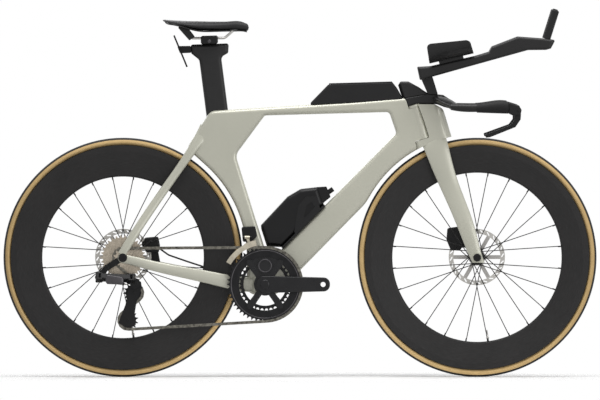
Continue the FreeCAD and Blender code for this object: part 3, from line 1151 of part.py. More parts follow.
def makeChainset(ringPhase):
    spindle = tube("crank_spindle", "spindle_radius", "spindle_bore", bracket, -s.spindle_half, s.spindle_half)
    keep(spindle, "crank_spindle")
    for side, hand in sides:
        tip = bracket - side * s.crank_length
        outline = armLoop(bracket, tip, s.arm_root_radius, s.arm_tip_radius)
        arm = plate(hand + "_arm", [outline], "arm_thick", "arm_edge", "%d * (arm_inner + arm_thick / 2)" % side)
        reach = s.overrun * 2
        cuts = [crossRod(hand + "_spindle_hole", "spindle_radius + spindle_gap", bracket, -reach, reach),
                crossRod(hand + "_pedal_hole", "pedal_hole", tip, -reach, reach)]
        if side > 0:
            keep(trimmed("crank_arm_left", arm, cuts), "crank_arm_left")
            continue
        face = -s.ring_place - s.ring_thick / 2
        boss = crossRod("spider_boss", "spider_boss", bracket, -s.arm_inner, face)
        pod = crossRod("pod", "pod_radius", bracket + 1j * s.pod_rise, -s.arm_inner - s.pod_proud,
                       face - s.bearing_gap * 4)
        rim = [bracket + polar(degrees) * s.panel_reach for degrees in panelDegrees]
        root = [bracket + polar(degrees) * s.spider_boss for degrees in (panelDegrees[-1], panelDegrees[0])]
        panel = plate("spider_panel", [rounded([(corner, 0) for corner in rim + root])], "panel_thick", "",
                      "-(ring_place + ring_thick / 2 + panel_thick)")
        legs = []
        for number, degrees in enumerate(spiderDegrees):
            out = spot(polar(degrees))
            ends = [spot(bracket) + out * s.spider_tip, spot(bracket) + out * (s.spider_reach - s.spider_tip / 2)]
            leg = slab(*ends, s.spider_tip / 2, leftward, -s.arm_inner, face)
            legs.append(solid("spider_leg%d" % number, leg))
        whole = joined("right_arm_whole", [arm, boss, pod, panel] + legs)
        bolts = []
        backs = -s.small_ring_place + s.ring_thick / 2
        for number, degrees in enumerate(spiderDegrees):
            centre = bracket + polar(degrees) * s.bolt_circle
            cuts.append(crossRod("bolt_hole%d" % number, "ring_bolt_radius + bearing_gap", centre, -reach, 0))
            collar = tube("bolt_collar%d" % number, "ring_bolt_head", "ring_bolt_radius + bearing_gap", centre,
                          -s.ring_place + s.ring_thick / 2, -s.small_ring_place - s.ring_thick / 2)
            shank = crossRod("bolt_shank%d" % number, "ring_bolt_radius", centre, -s.arm_inner, backs)
            head = crossRod("bolt_head%d" % number, "ring_bolt_head", centre, backs, backs + s.bolt_head_height)
            bolts.append(joined("ring_bolt%d" % number, [shank, head]))
            bolts.append(collar)
        keep(grouped("crank_arm_right", [trimmed("right_arm_body", whole, cuts)] + bolts), "crank_arm_right")
    large = chainring(ringTeeth, ringPhase, -s.ring_place, s.ring_band)
    small = chainring(smallRingTeeth, ringPhase, -s.small_ring_place, s.small_ring_band)
    keep(solid("chainring_large", large), "chainring_large")
    keep(solid("chainring_small", small), "chainring_small")


def makeCassette(cogPhase):
    bore = s.freehub_radius + s.cog_bore_gap
    solids = []
    for number, teeth in enumerate(cogTeeth):
        place = -s.first_cog_place + number * s.cog_step
        phase = cogPhase if number == chainedCog else math.pi / 2
        cog = sprocket(teeth, phase, rearAxle, place, s.cog_thick, bore)
        ringMiddle = (pitchRadius(teeth) + s.spacer_radius) / 2
        if pitchRadius(teeth) - s.spacer_radius > s.cog_hole * cogWebShare:
            for step in range(teeth):
                centre = spot(rearAxle + polar(360 / teeth * step) * ringMiddle, place - s.overrun)
                cog = cog.cut(Part.makeCylinder(s.cog_hole, s.overrun * 2, centre, leftward))
        solids.append(cog)
        if number:
            spacerStart = spot(rearAxle, place - s.cog_step + s.cog_thick / 2)
            spacer = Part.makeCylinder(s.spacer_radius, s.cog_step - s.cog_thick, spacerStart, leftward)
            solids.append(spacer.cut(Part.makeCylinder(bore, s.overrun * 4, spot(rearAxle, -s.overrun * 2), leftward)))
    first = -s.first_cog_place - s.cog_thick / 2
    last = -s.first_cog_place + (len(cogTeeth) - 1) * s.cog_step + s.cog_thick / 2
    axleBore = "hub_axle_radius + bearing_gap"
    lockring = tube("lockring", "lockring_radius", axleBore, rearAxle, first - s.lockring_height, first)
    keep(grouped("cassette", [solid("cogs", Part.makeCompound(solids)), lockring]), "cassette")
    freehub = tube("freehub_tube", "freehub_radius", axleBore, rearAxle, first, -s.freehub_start)
    lip = tube("freehub_lip", "spacer_radius", axleBore, rearAxle, last, -s.freehub_start)
    keep(joined("freehub_body", [freehub, lip]), "freehub_body")


guidePixel = (132, 296)
tensionPixel = (128, 323.6)
guideCentre = driveSpot(guidePixel)
searchDegrees = (-130, -70)


# the chain's way round ring, cog and pulleys, for a direction of the derailleur's cage
def chainWay(cageDegrees):
    tension = guideCentre + s.cage_length * polar(cageDegrees)
    wheels = ((bracket, ringTeeth, 1, -s.ring_place), (rearAxle, cogTeeth[chainedCog], 1, -cogPlace),
              (guideCentre, pulleyTeeth, -1, -cogPlace), (tension, pulleyTeeth, 1, -cogPlace))
    runs = []
    for number, (centre, teeth, sense, place) in enumerate(wheels):
        following, nextTeeth, nextSense, nextPlace = wheels[(number + 1) % len(wheels)]
        spread = nextSense * pitchRadius(nextTeeth) - sense * pitchRadius(teeth)
        gap = following - centre
        length = math.sqrt(abs(gap) ** 2 - spread ** 2)
        runs.append((gap / complex(length, spread), length))
    stretches = []
    for number, (centre, teeth, sense, place) in enumerate(wheels):
        arrive = runs[number - 1][0]
        leave, length = runs[number]
        wrap = (cmath.phase(leave / arrive) * sense) % (2 * math.pi)
        nextPlace = wheels[(number + 1) % len(wheels)][3]
        stretches.append(("wrap", wrap * teeth * s.pitch / (2 * math.pi), number, arrive, place, place))
        stretches.append(("run", length, number, leave, place, nextPlace))
    return wheels, stretches


def wayLength(cageDegrees):
    return sum(stretch[1] for stretch in chainWay(cageDegrees)[1])


# the cage's direction at which the chain's links close up
def solveCage():
    low, high = searchDegrees
    for _ in range(60):
        middle = (low + high) / 2
        if wayLength(middle) > chainLinks * s.pitch:
            low = middle
        else:
            high = middle
    return (low + high) / 2


cageDegrees = solveCage()
tensionCentre = guideCentre + s.cage_length * polar(cageDegrees)


# roller centres round the way, and the tooth phase of each toothed wheel
def rollerPlaces():
    wheels, stretches = chainWay(cageDegrees)
    rollers, phases = [], {}
    for number in range(chainLinks):
        left = number * s.pitch
        for kind, length, wheel, heading, place, nextPlace in stretches:
            if left < length:
                break
            left -= length
        centre, teeth, sense, _ = wheels[wheel]
        radius = pitchRadius(teeth)
        if kind == "wrap":
            turn = cmath.exp(1j * sense * left * 2 * math.pi / (teeth * s.pitch))
            arm = -1j * sense * heading * turn
            phases.setdefault(wheel, cmath.phase(arm))
            rollers.append(spot(centre + arm * radius, place))
        else:
            point = centre - 1j * sense * heading * radius + heading * left
            straight = straightLinks * s.pitch
            share = min(max((left - straight) / max(length - 2 * straight, s.pitch), 0), 1)
            rollers.append(spot(point, place + (nextPlace - place) * share))
    return rollers, phases


# one chain link along X from the origin: plates on both sides, with bushes or with pins
def chainLink(outerLink):
    end = FreeCAD.Vector(s.pitch, 0, 0)
    start = FreeCAD.Vector(0, 0, 0)
    level = s.outer_plate_place if outerLink else s.inner_plate_place
    link = slab(start, end, s.link_half_height, leftward, level, level + s.plate_skin)
    link = link.fuse(slab(start, end, s.link_half_height, leftward, -level - s.plate_skin, -level))
    for centre in (start, end):
        if outerLink:
            reach = level + s.plate_skin
            link = link.fuse(Part.makeCylinder(s.pin_radius, 2 * reach, centre - leftward * reach, leftward))
        else:
            link = link.fuse(Part.makeCylinder(s.roller_radius, 2 * level, centre - leftward * level, leftward))
            hole = Part.makeCylinder(s.pin_radius + s.pin_gap, 2 * s.overrun, centre - leftward * s.overrun, leftward)
            link = link.cut(hole)
    return link


def makeChain(rollers):
    kinds = [chainLink(False), chainLink(True)]
    links = []
    for number, start in enumerate(rollers):
        end = rollers[(number + 1) % len(rollers)]
        link = kinds[number % 2].copy()
        turn = FreeCAD.Rotation(end - start, leftward, FreeCAD.Vector(), "XYZ")
        link.Placement = FreeCAD.Placement(start, turn)
        links.append(link)
    keep(solid("chain", Part.makeCompound(links)), "chain")


# Rear derailleur

hangerPixel = (104.8, 271)
linkRootPixel = (99.5, 280.6)
linkEndPixel = (127.5, 281.6)
cagePivotPixel = (133.5, 286.4)
cagePixels = ((126.6, 291), (138.6, 283.4), (140, 290), (135.6, 304), (134.4, 316), (136.2, 328.4), (127, 331),
              (118.6, 327), (124.6, 308))
cageSpot = photoMap(guidePixel, tensionPixel, guideCentre, tensionCentre)
linkAxis = FreeCAD.Vector(0, math.sin(math.radians(s.links_slant)), math.cos(math.radians(s.links_slant)))


def makeDerailleur():
    outside = -rearCaps - s.hanger_thick
    tip = driveSpot(hangerPixel)
    eye = slab(spot(rearAxle), spot(tip), s.hanger_tip, leftward, outside, -rearCaps)
    ring = Part.makeCylinder(s.hanger_radius, s.hanger_thick, spot(rearAxle, outside), leftward)
    bore = Part.makeCylinder(s.axle_radius + s.bearing_gap, s.overrun * 2, spot(rearAxle, -rearCaps - s.overrun), leftward)
    hanger = solid("hanger", eye.fuse(ring).cut(bore))
    root = spot(driveSpot(linkRootPixel), -s.link_base_place)
    end = spot(driveSpot(linkEndPixel), -s.link_end_place)
    along = (end - root).normalize()
    aside = linkAxis.cross(along).normalize()
    spread = aside * (s.link_spread / 2)
    tall = s.link_bar_half
    ear = tall + s.link_gap
    top = ear + s.ear_thick
    proud = top + s.link_gap
    roots, ends = [], []
    for sign, hand in ((-1, "outer"), (1, "inner")):
        first = root + spread * sign
        last = end + spread * sign
        bar = slab(first, last, s.link_bar_radius, linkAxis, -tall, tall)
        for point, back, shapes in ((first, -along, roots), (last, along, ends)):
            bore = s.link_pin + s.bearing_gap
            bar = bar.cut(Part.makeCylinder(bore, s.overrun, point - linkAxis * s.overrun / 2, linkAxis))
            behind = point + back * s.link_set_back
            shapes.append(slab(point, behind, s.link_bar_radius, linkAxis, ear, top))
            shapes.append(slab(point, behind, s.link_bar_radius, linkAxis, -top, -ear))
            shapes.append(Part.makeCylinder(s.link_pin, 2 * proud, point - linkAxis * proud, linkAxis))
        keep(solid("derailleur_link_" + hand, bar), "derailleur_link_" + hand)
    backs, rooms = [], []
    tallRoom = tall + s.link_gap / 2
    for point, back in ((root, -along), (end, along)):
        behind = point + back * s.link_set_back
        backs.append(slab(behind - spread, behind + spread, s.link_bar_radius + s.link_gap, linkAxis, -proud, proud))
        near = point + back * (s.link_bar_radius + s.link_gap) - linkAxis * tallRoom
        far = near - back * s.overrun
        wide = spread * swingRoomShare
        room = Part.Face(Part.makePolygon([near - wide, near + wide, far + wide, far - wide, near - wide]))
        rooms.append(room.extrude(linkAxis * (2 * tallRoom)))
    boss = Part.makeCylinder(s.base_radius, s.base_width, spot(tip, outside - s.base_width), leftward)
    neckEnd = root - along * s.link_set_back
    neck = slab(spot(tip), FreeCAD.Vector(neckEnd.x, 0, neckEnd.z), s.neck_radius, leftward,
                -s.link_base_place, outside - s.ear_thick)
    base = whole([boss, neck, backs[0]]).cut(rooms[0])
    keep(grouped("derailleur_hanger", [hanger, solid("derailleur_base", whole([base] + roots))]), "derailleur_hanger")
    pivot = driveSpot(cagePivotPixel)
    drum = Part.makeCylinder(s.knuckle_radius, s.knuckle_high - s.knuckle_low, spot(pivot, -s.knuckle_high), leftward)
    plateOut = -cogPlace - s.cage_inside - s.cage_plate
    pinLength = s.knuckle_low + plateOut + s.cage_plate
    pin = Part.makeCylinder(s.cage_pivot, pinLength, spot(pivot, -s.knuckle_low), leftward)
    knuckle = whole([drum, pin, backs[1]]).cut(rooms[1])
    keep(solid("derailleur_knuckle", whole([knuckle] + ends)), "derailleur_knuckle")
    outline = [(cageSpot(pixel), s.cage_edge / 2) for pixel in cagePixels]
    plates = []
    for hand, low in (("outer", plateOut), ("inner", -cogPlace + s.cage_inside)):
        board = plate("cage_" + hand, [rounded(outline)], "cage_plate")
        board.Placement = FreeCAD.Placement(FreeCAD.Vector(0, low + s.cage_plate / 2, 0), FreeCAD.Rotation())
        plates.append(board)
    hole = crossRod("cage_pivot_hole", "cage_pivot + bearing_gap", pivot, -s.overrun * 2, plateOut + s.cage_plate)
    bolts = []
    for hand, centre in (("guide", guideCentre), ("tension", tensionCentre)):
        bolts.append(crossRod(hand + "_bolt", "pulley_bolt", centre, plateOut, -cogPlace + s.cage_inside + s.cage_plate))
    keep(trimmed("derailleur_cage", joined("cage_whole", [plates[0]] + bolts + [plates[1]]), [hole]), "derailleur_cage")


def whole(shapes):
    return shapes[0].multiFuse(shapes[1:])


def makePulleys(phases):
    bore = s.pulley_bolt + s.bearing_gap
    for name, centre, wheel in (("guide_pulley", guideCentre, 2), ("tension_pulley", tensionCentre, 3)):
        disc = sprocket(pulleyTeeth, phases[wheel], centre, -cogPlace, s.pulley_thick, bore)
        reach = s.cage_inside - s.pulley_gap
        hub = Part.makeCylinder(s.pulley_boss, 2 * reach, spot(centre, -cogPlace - reach), leftward)
        hole = Part.makeCylinder(bore, s.overrun * 2, spot(centre, -cogPlace - s.overrun), leftward)
        keep(solid(name, disc.fuse(hub).cut(hole)), name)


# Front derailleur

shifterPixels = ((240, 229), (254, 228), (256, 238), (251, 243.6), (241.6, 244))
guidePinPixel = (246, 239.4)
guideDegrees = (102, 150)


def makeFrontDerailleur():
    block = plate("shifter_block", [pixelLoop(driveSpot, shifterPixels, s.shifter_corner)],
                  "shifter_high - shifter_low", "shifter_edge", "-(shifter_low + shifter_high) / 2")
    body = trimmed("shifter_body", block, [doc.getObject("frame_core")])
    hinge = driveSpot(guidePinPixel)
    pivot = spot(hinge, -s.shifter_high - s.guide_arm)
    eyeHalf = s.guide_bridge
    pinHalf = eyeHalf + s.link_gap + s.guide_arm
    pin = rod("guide_pin_rod", "guide_pin", pivot - forward * pinHalf, pivot + forward * pinHalf)
    ears = []
    for number, sign in enumerate((-1, 1)):
        span = sorted((sign * (eyeHalf + s.link_gap), sign * pinHalf))
        ear = slab(pivot, pivot + leftward * (s.guide_arm * 2), s.guide_arm, forward, *span)
        ears.append(solid("shifter_ear%d" % number, ear))
    keep(joined("front_derailleur", [body] + ears + [pin]), "front_derailleur")
    first, last = guideDegrees
    outside = -s.ring_place - s.guide_inside - s.guide_plate
    across = 2 * (s.guide_inside + s.guide_plate)
    bridgeDegrees = math.degrees(s.guide_bridge / s.guide_outer)
    boards = [arcBand(s.guide_inner, s.guide_outer, first, last, place, s.guide_plate)
              for place in (outside, -s.ring_place + s.guide_inside)]
    boards.append(arcBand(s.guide_inner, s.guide_outer, last - bridgeDegrees / 2, last, outside, across))
    roof = s.guide_outer + s.guide_plate
    boards.append(arcBand(s.guide_outer - s.guide_plate, roof, first, first + bridgeDegrees * 5, outside, across))
    armDegrees = math.degrees(cmath.phase(hinge - bracket))
    boards.append(arcBand(s.guide_outer, abs(hinge - bracket), armDegrees - bridgeDegrees / 2,
                          armDegrees + bridgeDegrees / 2, pivot.y - s.guide_arm / 2, s.guide_arm))
    boards.append(Part.makeCylinder(s.guide_arm, 2 * eyeHalf, pivot - forward * eyeHalf, forward))
    bore = Part.makeCylinder(s.guide_pin + s.bearing_gap, 2 * s.overrun, pivot - forward * s.overrun, forward)
    keep(solid("front_derailleur_cage", whole(boards).cut(bore)), "front_derailleur_cage")


def arcBand(inner, outer, first, last, low, thick):
    middle = (first + last) / 2
    points = [spot(bracket + polar(degrees) * radius, low) for radius, degrees in
              ((inner, first), (inner, middle), (inner, last), (outer, last), (outer, middle), (outer, first))]
    edges = [Part.Arc(*points[:3]).toShape(), Part.LineSegment(points[2], points[3]).toShape(),
             Part.Arc(*points[3:]).toShape(), Part.LineSegment(points[5], points[0]).toShape()]
    return Part.Face(Part.Wire(edges)).extrude(leftward * thick)


# Top tube box and bottle

boxPixels = ((307, 106), (327.4, 85), (331.4, 83.6), (391.6, 81.8), (396.4, 88), (404, 101))
boxHollowPixels = ((314, 103), (329.4, 87), (332, 60), (388, 60), (391, 87), (397, 97.5))
boxFootPixel = (355, 99)
lidPixels = ((328.6, 83.4), (391.4, 81.6))
bottlePixels = ((260.8, 229), (260.4, 225.2), (287, 196.6), (300, 189), (317.6, 187))
bottleLowPixels = ((323.4, 204.4), (280.8, 247.2), (266.4, 246.6))
bottleCornerShares = (0.4, 0.4, 1, 1, 0.2, 0.2, 0.6, 0.5)
capPixels = ((316.4, 187.2), (326, 186.6), (330.2, 197), (322.2, 203.6))
nozzlePixels = ((324, 195), (332.6, 189))
cageWingPixels = ((293, 236.4), (298, 205), (306, 196.5), (316, 196), (320, 209.6))
cageWindowPixels = ((303, 218.6), (306.4, 205), (311, 202), (314.6, 206.6))


def makeBox():
    core = doc.getObject("frame_core")
    loop = [(frameSpot(pixel), s.box_corner) for pixel in boxPixels]
    foot = frameSpot(boxFootPixel).imag
    block = plate("box_block", [rounded(loop)], "box_width", "box_edge", chosen=lambda point: point.z > foot)
    hollow = plate("box_hollow", [pixelLoop(frameSpot, boxHollowPixels, 0)], "box_width - box_wall * 2")
    start, end = [frameSpot(pixel) for pixel in lidPixels]
    lift = 1j * unit(end - start)
    rim = [start - lift * s.lid_thick, end - lift * s.lid_thick, end + lift * s.overrun, start + lift * s.overrun]
    lidRoom = plate("lid_room", [rounded([(point, 0) for point in rim])], "box_width * 2")
    steering = steerRod("box_steer_room", "stem_radius + steer_gap", headTop, headTop + s.head_length * 2)
    keep(trimmed("top_tube_box", block, [core, hollow, lidRoom, steering]), "top_tube_box")
    gap = lift * s.lid_gap
    lid = [start - lift * s.lid_thick + gap / 2, end - lift * s.lid_thick + gap / 2, end, start]
    lid = plate("top_tube_lid", [rounded([(point, 0) for point in lid])], "box_width - box_wall", "lid_edge",
                chosen=lambda point: point.z > start.imag - s.lid_edge)
    keep(lid, "top_tube_lid")


def makeBottle():
    pixels = [frameSpot(pixel) for pixel in bottlePixels + bottleLowPixels]
    loop = rounded([(point, s.bottle_corner * share) for point, share in zip(pixels, bottleCornerShares)])
    capFace = frameSpot(bottlePixels[-1]).real - s.nozzle_radius
    keep(plate("bottle", [loop], "bottle_width", "bottle_edge", chosen=lambda point: point.x < capFace), "bottle")
    cap = plate("cap_block", [pixelLoop(frameSpot, capPixels, s.cage_corner / 2)], "bottle_width - bottle_edge")
    start, end = [frameSpot(pixel) for pixel in nozzlePixels]
    along = unit(end - start)
    bottle = doc.getObject("bottle")
    socket = rod("nozzle_room", "nozzle_radius + nozzle_gap", spot(start), spot(start + along * s.overrun))
    keep(trimmed("bottle_cap", cap, [bottle, socket]), "bottle_cap")
    keep(rod("bottle_nozzle", "nozzle_radius", spot(start + along * s.nozzle_gap), spot(end)), "bottle_nozzle")
    high, low = [frameSpot(pixel) for pixel in bottleLowPixels[:2]]
    drop = -1j * unit(high - low)
    rest = (drop * s.bottle_gap / 2, drop * s.cage_base)
    floor = [(low + rest[1], 0), (high + rest[1], 0), (high + rest[0], 0), (low + rest[0], 0)]
    wings = [plate("cage_base", [rounded(floor)], "bottle_width + bottle_gap * 2 + cage_wall * 2")]
    for side, hand in sides:
        loops = [pixelLoop(frameSpot, cageWingPixels, s.cage_corner)]
        loops.append(pixelLoop(frameSpot, cageWindowPixels, s.cage_corner / 3))
        wings.append(plate(hand + "_cage_wing", loops, "cage_wall", "",
                           "%d * (bottle_width + bottle_gap * 2 + cage_wall) / 2" % side))
    grown = plate("cage_room", [loop], "bottle_width + bottle_gap")
    keep(trimmed("bottle_cage", joined("cage_joined", wings), [doc.getObject("frame_core"), grown]), "bottle_cage")


def export():
    doc.recompute()
    for piece in doc.Objects:
        if "Invalid" in piece.State or "Error" in piece.State:
            raise RuntimeError("%s failed: %s" % (piece.Name, piece.getStatusString()))
    for piece in nodes:
        if piece.Shape.isNull() or not piece.Shape.isValid():
            raise RuntimeError(piece.Label + " is not a sound solid")
    os.makedirs("parts", exist_ok=True)
    for piece in nodes:
        piece.Shape.exportStep("parts/" + piece.Label + ".step")


def main():
    makeWheels()
    makeFrame()
    makeSeatpost()
    makeAccessoryMount()
    makeSaddle()
    makeFork()
    makeGrips(makeBaseBar())
    makeForearmRests()
    makeBrakes()
    rollers, phases = rollerPlaces()
    makeChainset(phases[0])
    makeCassette(phases[1])
    makeChain(rollers)
    makeDerailleur()
    makePulleys(phases)
    makeFrontDerailleur()
    makeBox()
    makeBottle()
    export()


main()
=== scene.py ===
import json
import math
import bmesh
import bpy
import numpy as np
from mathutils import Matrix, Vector

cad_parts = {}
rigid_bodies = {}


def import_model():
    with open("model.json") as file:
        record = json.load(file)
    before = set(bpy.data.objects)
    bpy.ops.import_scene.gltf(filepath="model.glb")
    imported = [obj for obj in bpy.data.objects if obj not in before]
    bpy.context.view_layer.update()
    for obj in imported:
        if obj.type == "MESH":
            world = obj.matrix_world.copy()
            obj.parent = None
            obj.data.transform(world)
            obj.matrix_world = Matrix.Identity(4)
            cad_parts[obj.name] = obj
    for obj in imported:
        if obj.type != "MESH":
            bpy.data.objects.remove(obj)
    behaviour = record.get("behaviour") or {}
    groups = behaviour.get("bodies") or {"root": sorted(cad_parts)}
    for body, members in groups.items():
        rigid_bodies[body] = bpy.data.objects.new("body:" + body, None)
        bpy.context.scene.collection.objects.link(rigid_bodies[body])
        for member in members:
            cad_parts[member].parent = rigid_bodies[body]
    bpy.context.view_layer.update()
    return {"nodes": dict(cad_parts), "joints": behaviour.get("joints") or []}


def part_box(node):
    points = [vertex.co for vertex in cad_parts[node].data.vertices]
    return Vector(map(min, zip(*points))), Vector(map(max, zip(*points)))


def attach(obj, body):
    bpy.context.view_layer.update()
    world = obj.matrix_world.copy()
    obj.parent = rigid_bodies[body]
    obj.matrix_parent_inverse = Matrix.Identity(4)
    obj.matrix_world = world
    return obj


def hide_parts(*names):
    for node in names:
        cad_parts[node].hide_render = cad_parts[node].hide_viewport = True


# Time trial bike. Metres, +X forward, +Y to the rider's left, +Z up, origin on the floor between the wheels.

for leftover in list(bpy.data.objects):  # the start-up file's own things
    bpy.data.objects.remove(leftover)
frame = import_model()
nodes = frame["nodes"]
jointOf = {joint["name"]: joint for joint in frame["joints"]}


def jointPlace(name):
    return np.array(jointOf[name]["pos_m"])


rearAxle, frontAxle, bracket = jointPlace("rear_wheel"), jointPlace("front_wheel"), jointPlace("crank")
scene = bpy.context.scene
scene.view_settings.view_transform = "Standard"
print("frame loaded:", len(nodes), "nodes")


# Mesh helpers

def meshObject(name, points, faces, material, body, smooth=True):
    mesh = bpy.data.meshes.new(name)
    mesh.from_pydata(points.reshape(-1, 3).tolist(), [], faces)
    shell = bmesh.new()
    shell.from_mesh(mesh)
    bmesh.ops.remove_doubles(shell, verts=shell.verts, dist=1e-6)  # closes seams and poles
    bmesh.ops.recalc_face_normals(shell, faces=shell.faces)
    shell.to_mesh(mesh)
    shell.free()
    mesh.polygons.foreach_set("use_smooth", np.full(len(mesh.polygons), smooth))
    piece = bpy.data.objects.new(name, mesh)
    scene.collection.objects.link(piece)
    mesh.materials.append(material)
    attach(piece, body)
    return piece


# quads over a grid of rows and columns; wrapped grids join their last row or column to the first
def gridFaces(rows, columns, wrapRows, wrapColumns, start=0):
    r = np.arange(rows if wrapRows else rows - 1)
    c = np.arange(columns if wrapColumns else columns - 1)
    a, b = np.meshgrid(r, c, indexing="ij")
    a2, b2 = (a + 1) % rows, (b + 1) % columns
    quads = np.stack([a * columns + b, a2 * columns + b, a2 * columns + b2, a * columns + b2], -1)
    return (quads.reshape(-1, 4) + start).tolist()


# a unit frame round a direction
def across(axis):
    axis = np.asarray(axis, float) / np.linalg.norm(axis)
    other = np.array([0.0, 0.0, 1.0]) if abs(axis[2]) < 0.9 else np.array([1.0, 0.0, 0.0])
    first = np.cross(other, axis)
    first /= np.linalg.norm(first)
    return axis, first, np.cross(axis, first)


# a profile of (radius, height) pairs turned about an axis through each of many places
# rows named in sixSided are hexagons instead of circles
def turnedMany(name, places, axes, profile, steps, material, body, sixSided=(), smooth=True):
    profile = np.asarray(profile, float)
    turn = np.linspace(0, 2 * math.pi, steps, endpoint=False)
    flats = math.cos(math.pi / 6) / np.cos(turn % (math.pi / 3) - math.pi / 6)
    shape = np.ones((len(profile), steps))
    shape[list(sixSided)] = flats
    allPoints, faces = [], []
    for place, axis in zip(places, axes):
        up, first, second = across(axis)
        ring = np.cos(turn)[:, None] * first + np.sin(turn)[:, None] * second
        reach = (profile[:, 0, None] * shape)[..., None]
        points = np.asarray(place) + reach * ring + profile[:, 1, None, None] * up
        faces += gridFaces(len(profile), steps, False, True, len(allPoints) * len(profile) * steps)
        allPoints.append(points.reshape(-1, 3))
    return meshObject(name, np.concatenate(allPoints), faces, material, body, smooth)


screwShares = {"floor": 0.35, "recess": 0.5, "flat": 0.86, "shoulder": 0.8}  # of the head's height or radius
screwSize = {"sink": 0.0006, "steps": 24}


# a cap screw: rounded head with a six-sided recess, sunk a little into what carries it
def screws(name, places, axes, radius, height, look, body, slot):
    floor, recess = height * screwShares["floor"], radius * screwShares["recess"]
    flat, shoulder = radius * screwShares["flat"], height * screwShares["shoulder"]
    sink = screwSize["sink"]
    profile = [(0, floor), (recess, floor), (recess, height), (flat, height), (radius, shoulder),
               (radius, -sink), (0, -sink)]
    turnedMany(name, places, axes, profile, screwSize["steps"], looks[look], body, sixSided=(1, 2),
               smooth=False)


# Shader groups

def newGroup(name, inputs, outputs):
    group = bpy.data.node_groups.new(name, "ShaderNodeTree")
    for label, kind, value in inputs:
        socket = group.interface.new_socket(label, in_out="INPUT", socket_type=kind)
        socket.default_value = value
    for label, kind in outputs:
        group.interface.new_socket(label, in_out="OUTPUT", socket_type=kind)
    return group, group.nodes.new("NodeGroupInput"), group.nodes.new("NodeGroupOutput")


def math2(tree, operation, first, second=None, third=None):
    node = tree.nodes.new("ShaderNodeMath")
    node.operation = operation
    for socket, value in zip(node.inputs, (first, second, third)):
        if value is None:
            continue
        if isinstance(value, (int, float)):
            socket.default_value = value
        else:
            tree.links.new(value, socket)
    return node.outputs[0]


def mixColor(tree, factor, first, second):
    node = tree.nodes.new("ShaderNodeMix")
    node.data_type = "RGBA"
    for socket, value in ((node.inputs[0], factor), (node.inputs[6], first), (node.inputs[7], second)):
        if isinstance(value, (tuple, int, float)):
            socket.default_value = value
        else:
            tree.links.new(value, socket)
    return node.outputs[2]


def noiseOf(tree, vector, scale, detail=3.0, rough=0.55):
    node = tree.nodes.new("ShaderNodeTexNoise")
    node.inputs["Detail"].default_value = detail
    node.inputs["Roughness"].default_value = rough
    if isinstance(scale, (int, float)):
        node.inputs["Scale"].default_value = scale
    else:
        tree.links.new(scale, node.inputs["Scale"])
    tree.links.new(vector, node.inputs["Vector"])
    return node.outputs["Fac"]


surfaceShares = {"grain": 0.35, "broad": 0.65, "low": 0.34, "high": 0.66}


# broad tone change with a fine grain on top: colour, roughness and height
def makeSurfaceGroup():
    group, inside, outside = newGroup("surfaceVary", [
        ("Light", "NodeSocketColor", (0.5, 0.5, 0.5, 1)), ("Dark", "NodeSocketColor", (0.4, 0.4, 0.4, 1)),
        ("Broad Scale", "NodeSocketFloat", 9.0), ("Grain Scale", "NodeSocketFloat", 900.0),
        ("Rough Low", "NodeSocketFloat", 0.3), ("Rough High", "NodeSocketFloat", 0.5),
    ], [("Color", "NodeSocketColor"), ("Roughness", "NodeSocketFloat"), ("Height", "NodeSocketFloat")])
    place = group.nodes.new("ShaderNodeTexCoord").outputs["Object"]
    broad = noiseOf(group, place, inside.outputs["Broad Scale"])
    grain = noiseOf(group, place, inside.outputs["Grain Scale"], 2.0)
    wide = math2(group, "MULTIPLY", broad, surfaceShares["broad"])
    mixed = math2(group, "MULTIPLY_ADD", grain, surfaceShares["grain"], wide)
    spread = group.nodes.new("ShaderNodeMapRange")
    spread.inputs["From Min"].default_value = surfaceShares["low"]
    spread.inputs["From Max"].default_value = surfaceShares["high"]
    group.links.new(mixed, spread.inputs["Value"])
    color = mixColor(group, spread.outputs[0], inside.outputs["Dark"], inside.outputs["Light"])
    group.links.new(color, outside.inputs["Color"])
    gap = math2(group, "SUBTRACT", inside.outputs["Rough High"], inside.outputs["Rough Low"])
    rough = math2(group, "MULTIPLY_ADD", spread.outputs[0], gap, inside.outputs["Rough Low"])
    group.links.new(rough, outside.inputs["Roughness"])
    group.links.new(grain, outside.inputs["Height"])
    return group


# distance and turn about a wheel's axle, from Object coordinates
def makeWheelGroup():
    group, inside, outside = newGroup("wheelPlace", [
        ("Axle X", "NodeSocketFloat", 0.0), ("Axle Z", "NodeSocketFloat", 0.34),
    ], [("Radius", "NodeSocketFloat"), ("Turn", "NodeSocketFloat"), ("Across", "NodeSocketFloat")])
    split = group.nodes.new("ShaderNodeSeparateXYZ")
    group.links.new(group.nodes.new("ShaderNodeTexCoord").outputs["Object"], split.inputs[0])
    ahead = math2(group, "SUBTRACT", split.outputs[0], inside.outputs["Axle X"])
    above = math2(group, "SUBTRACT", split.outputs[2], inside.outputs["Axle Z"])
    squares = math2(group, "MULTIPLY_ADD", ahead, ahead, math2(group, "MULTIPLY", above, above))
    group.links.new(math2(group, "SQRT", squares), outside.inputs["Radius"])
    group.links.new(math2(group, "ARCTAN2", above, ahead), outside.inputs["Turn"])
    group.links.new(split.outputs[1], outside.inputs["Across"])
    return group


surfaceGroup = makeSurfaceGroup()
wheelGroup = makeWheelGroup()


# Materials

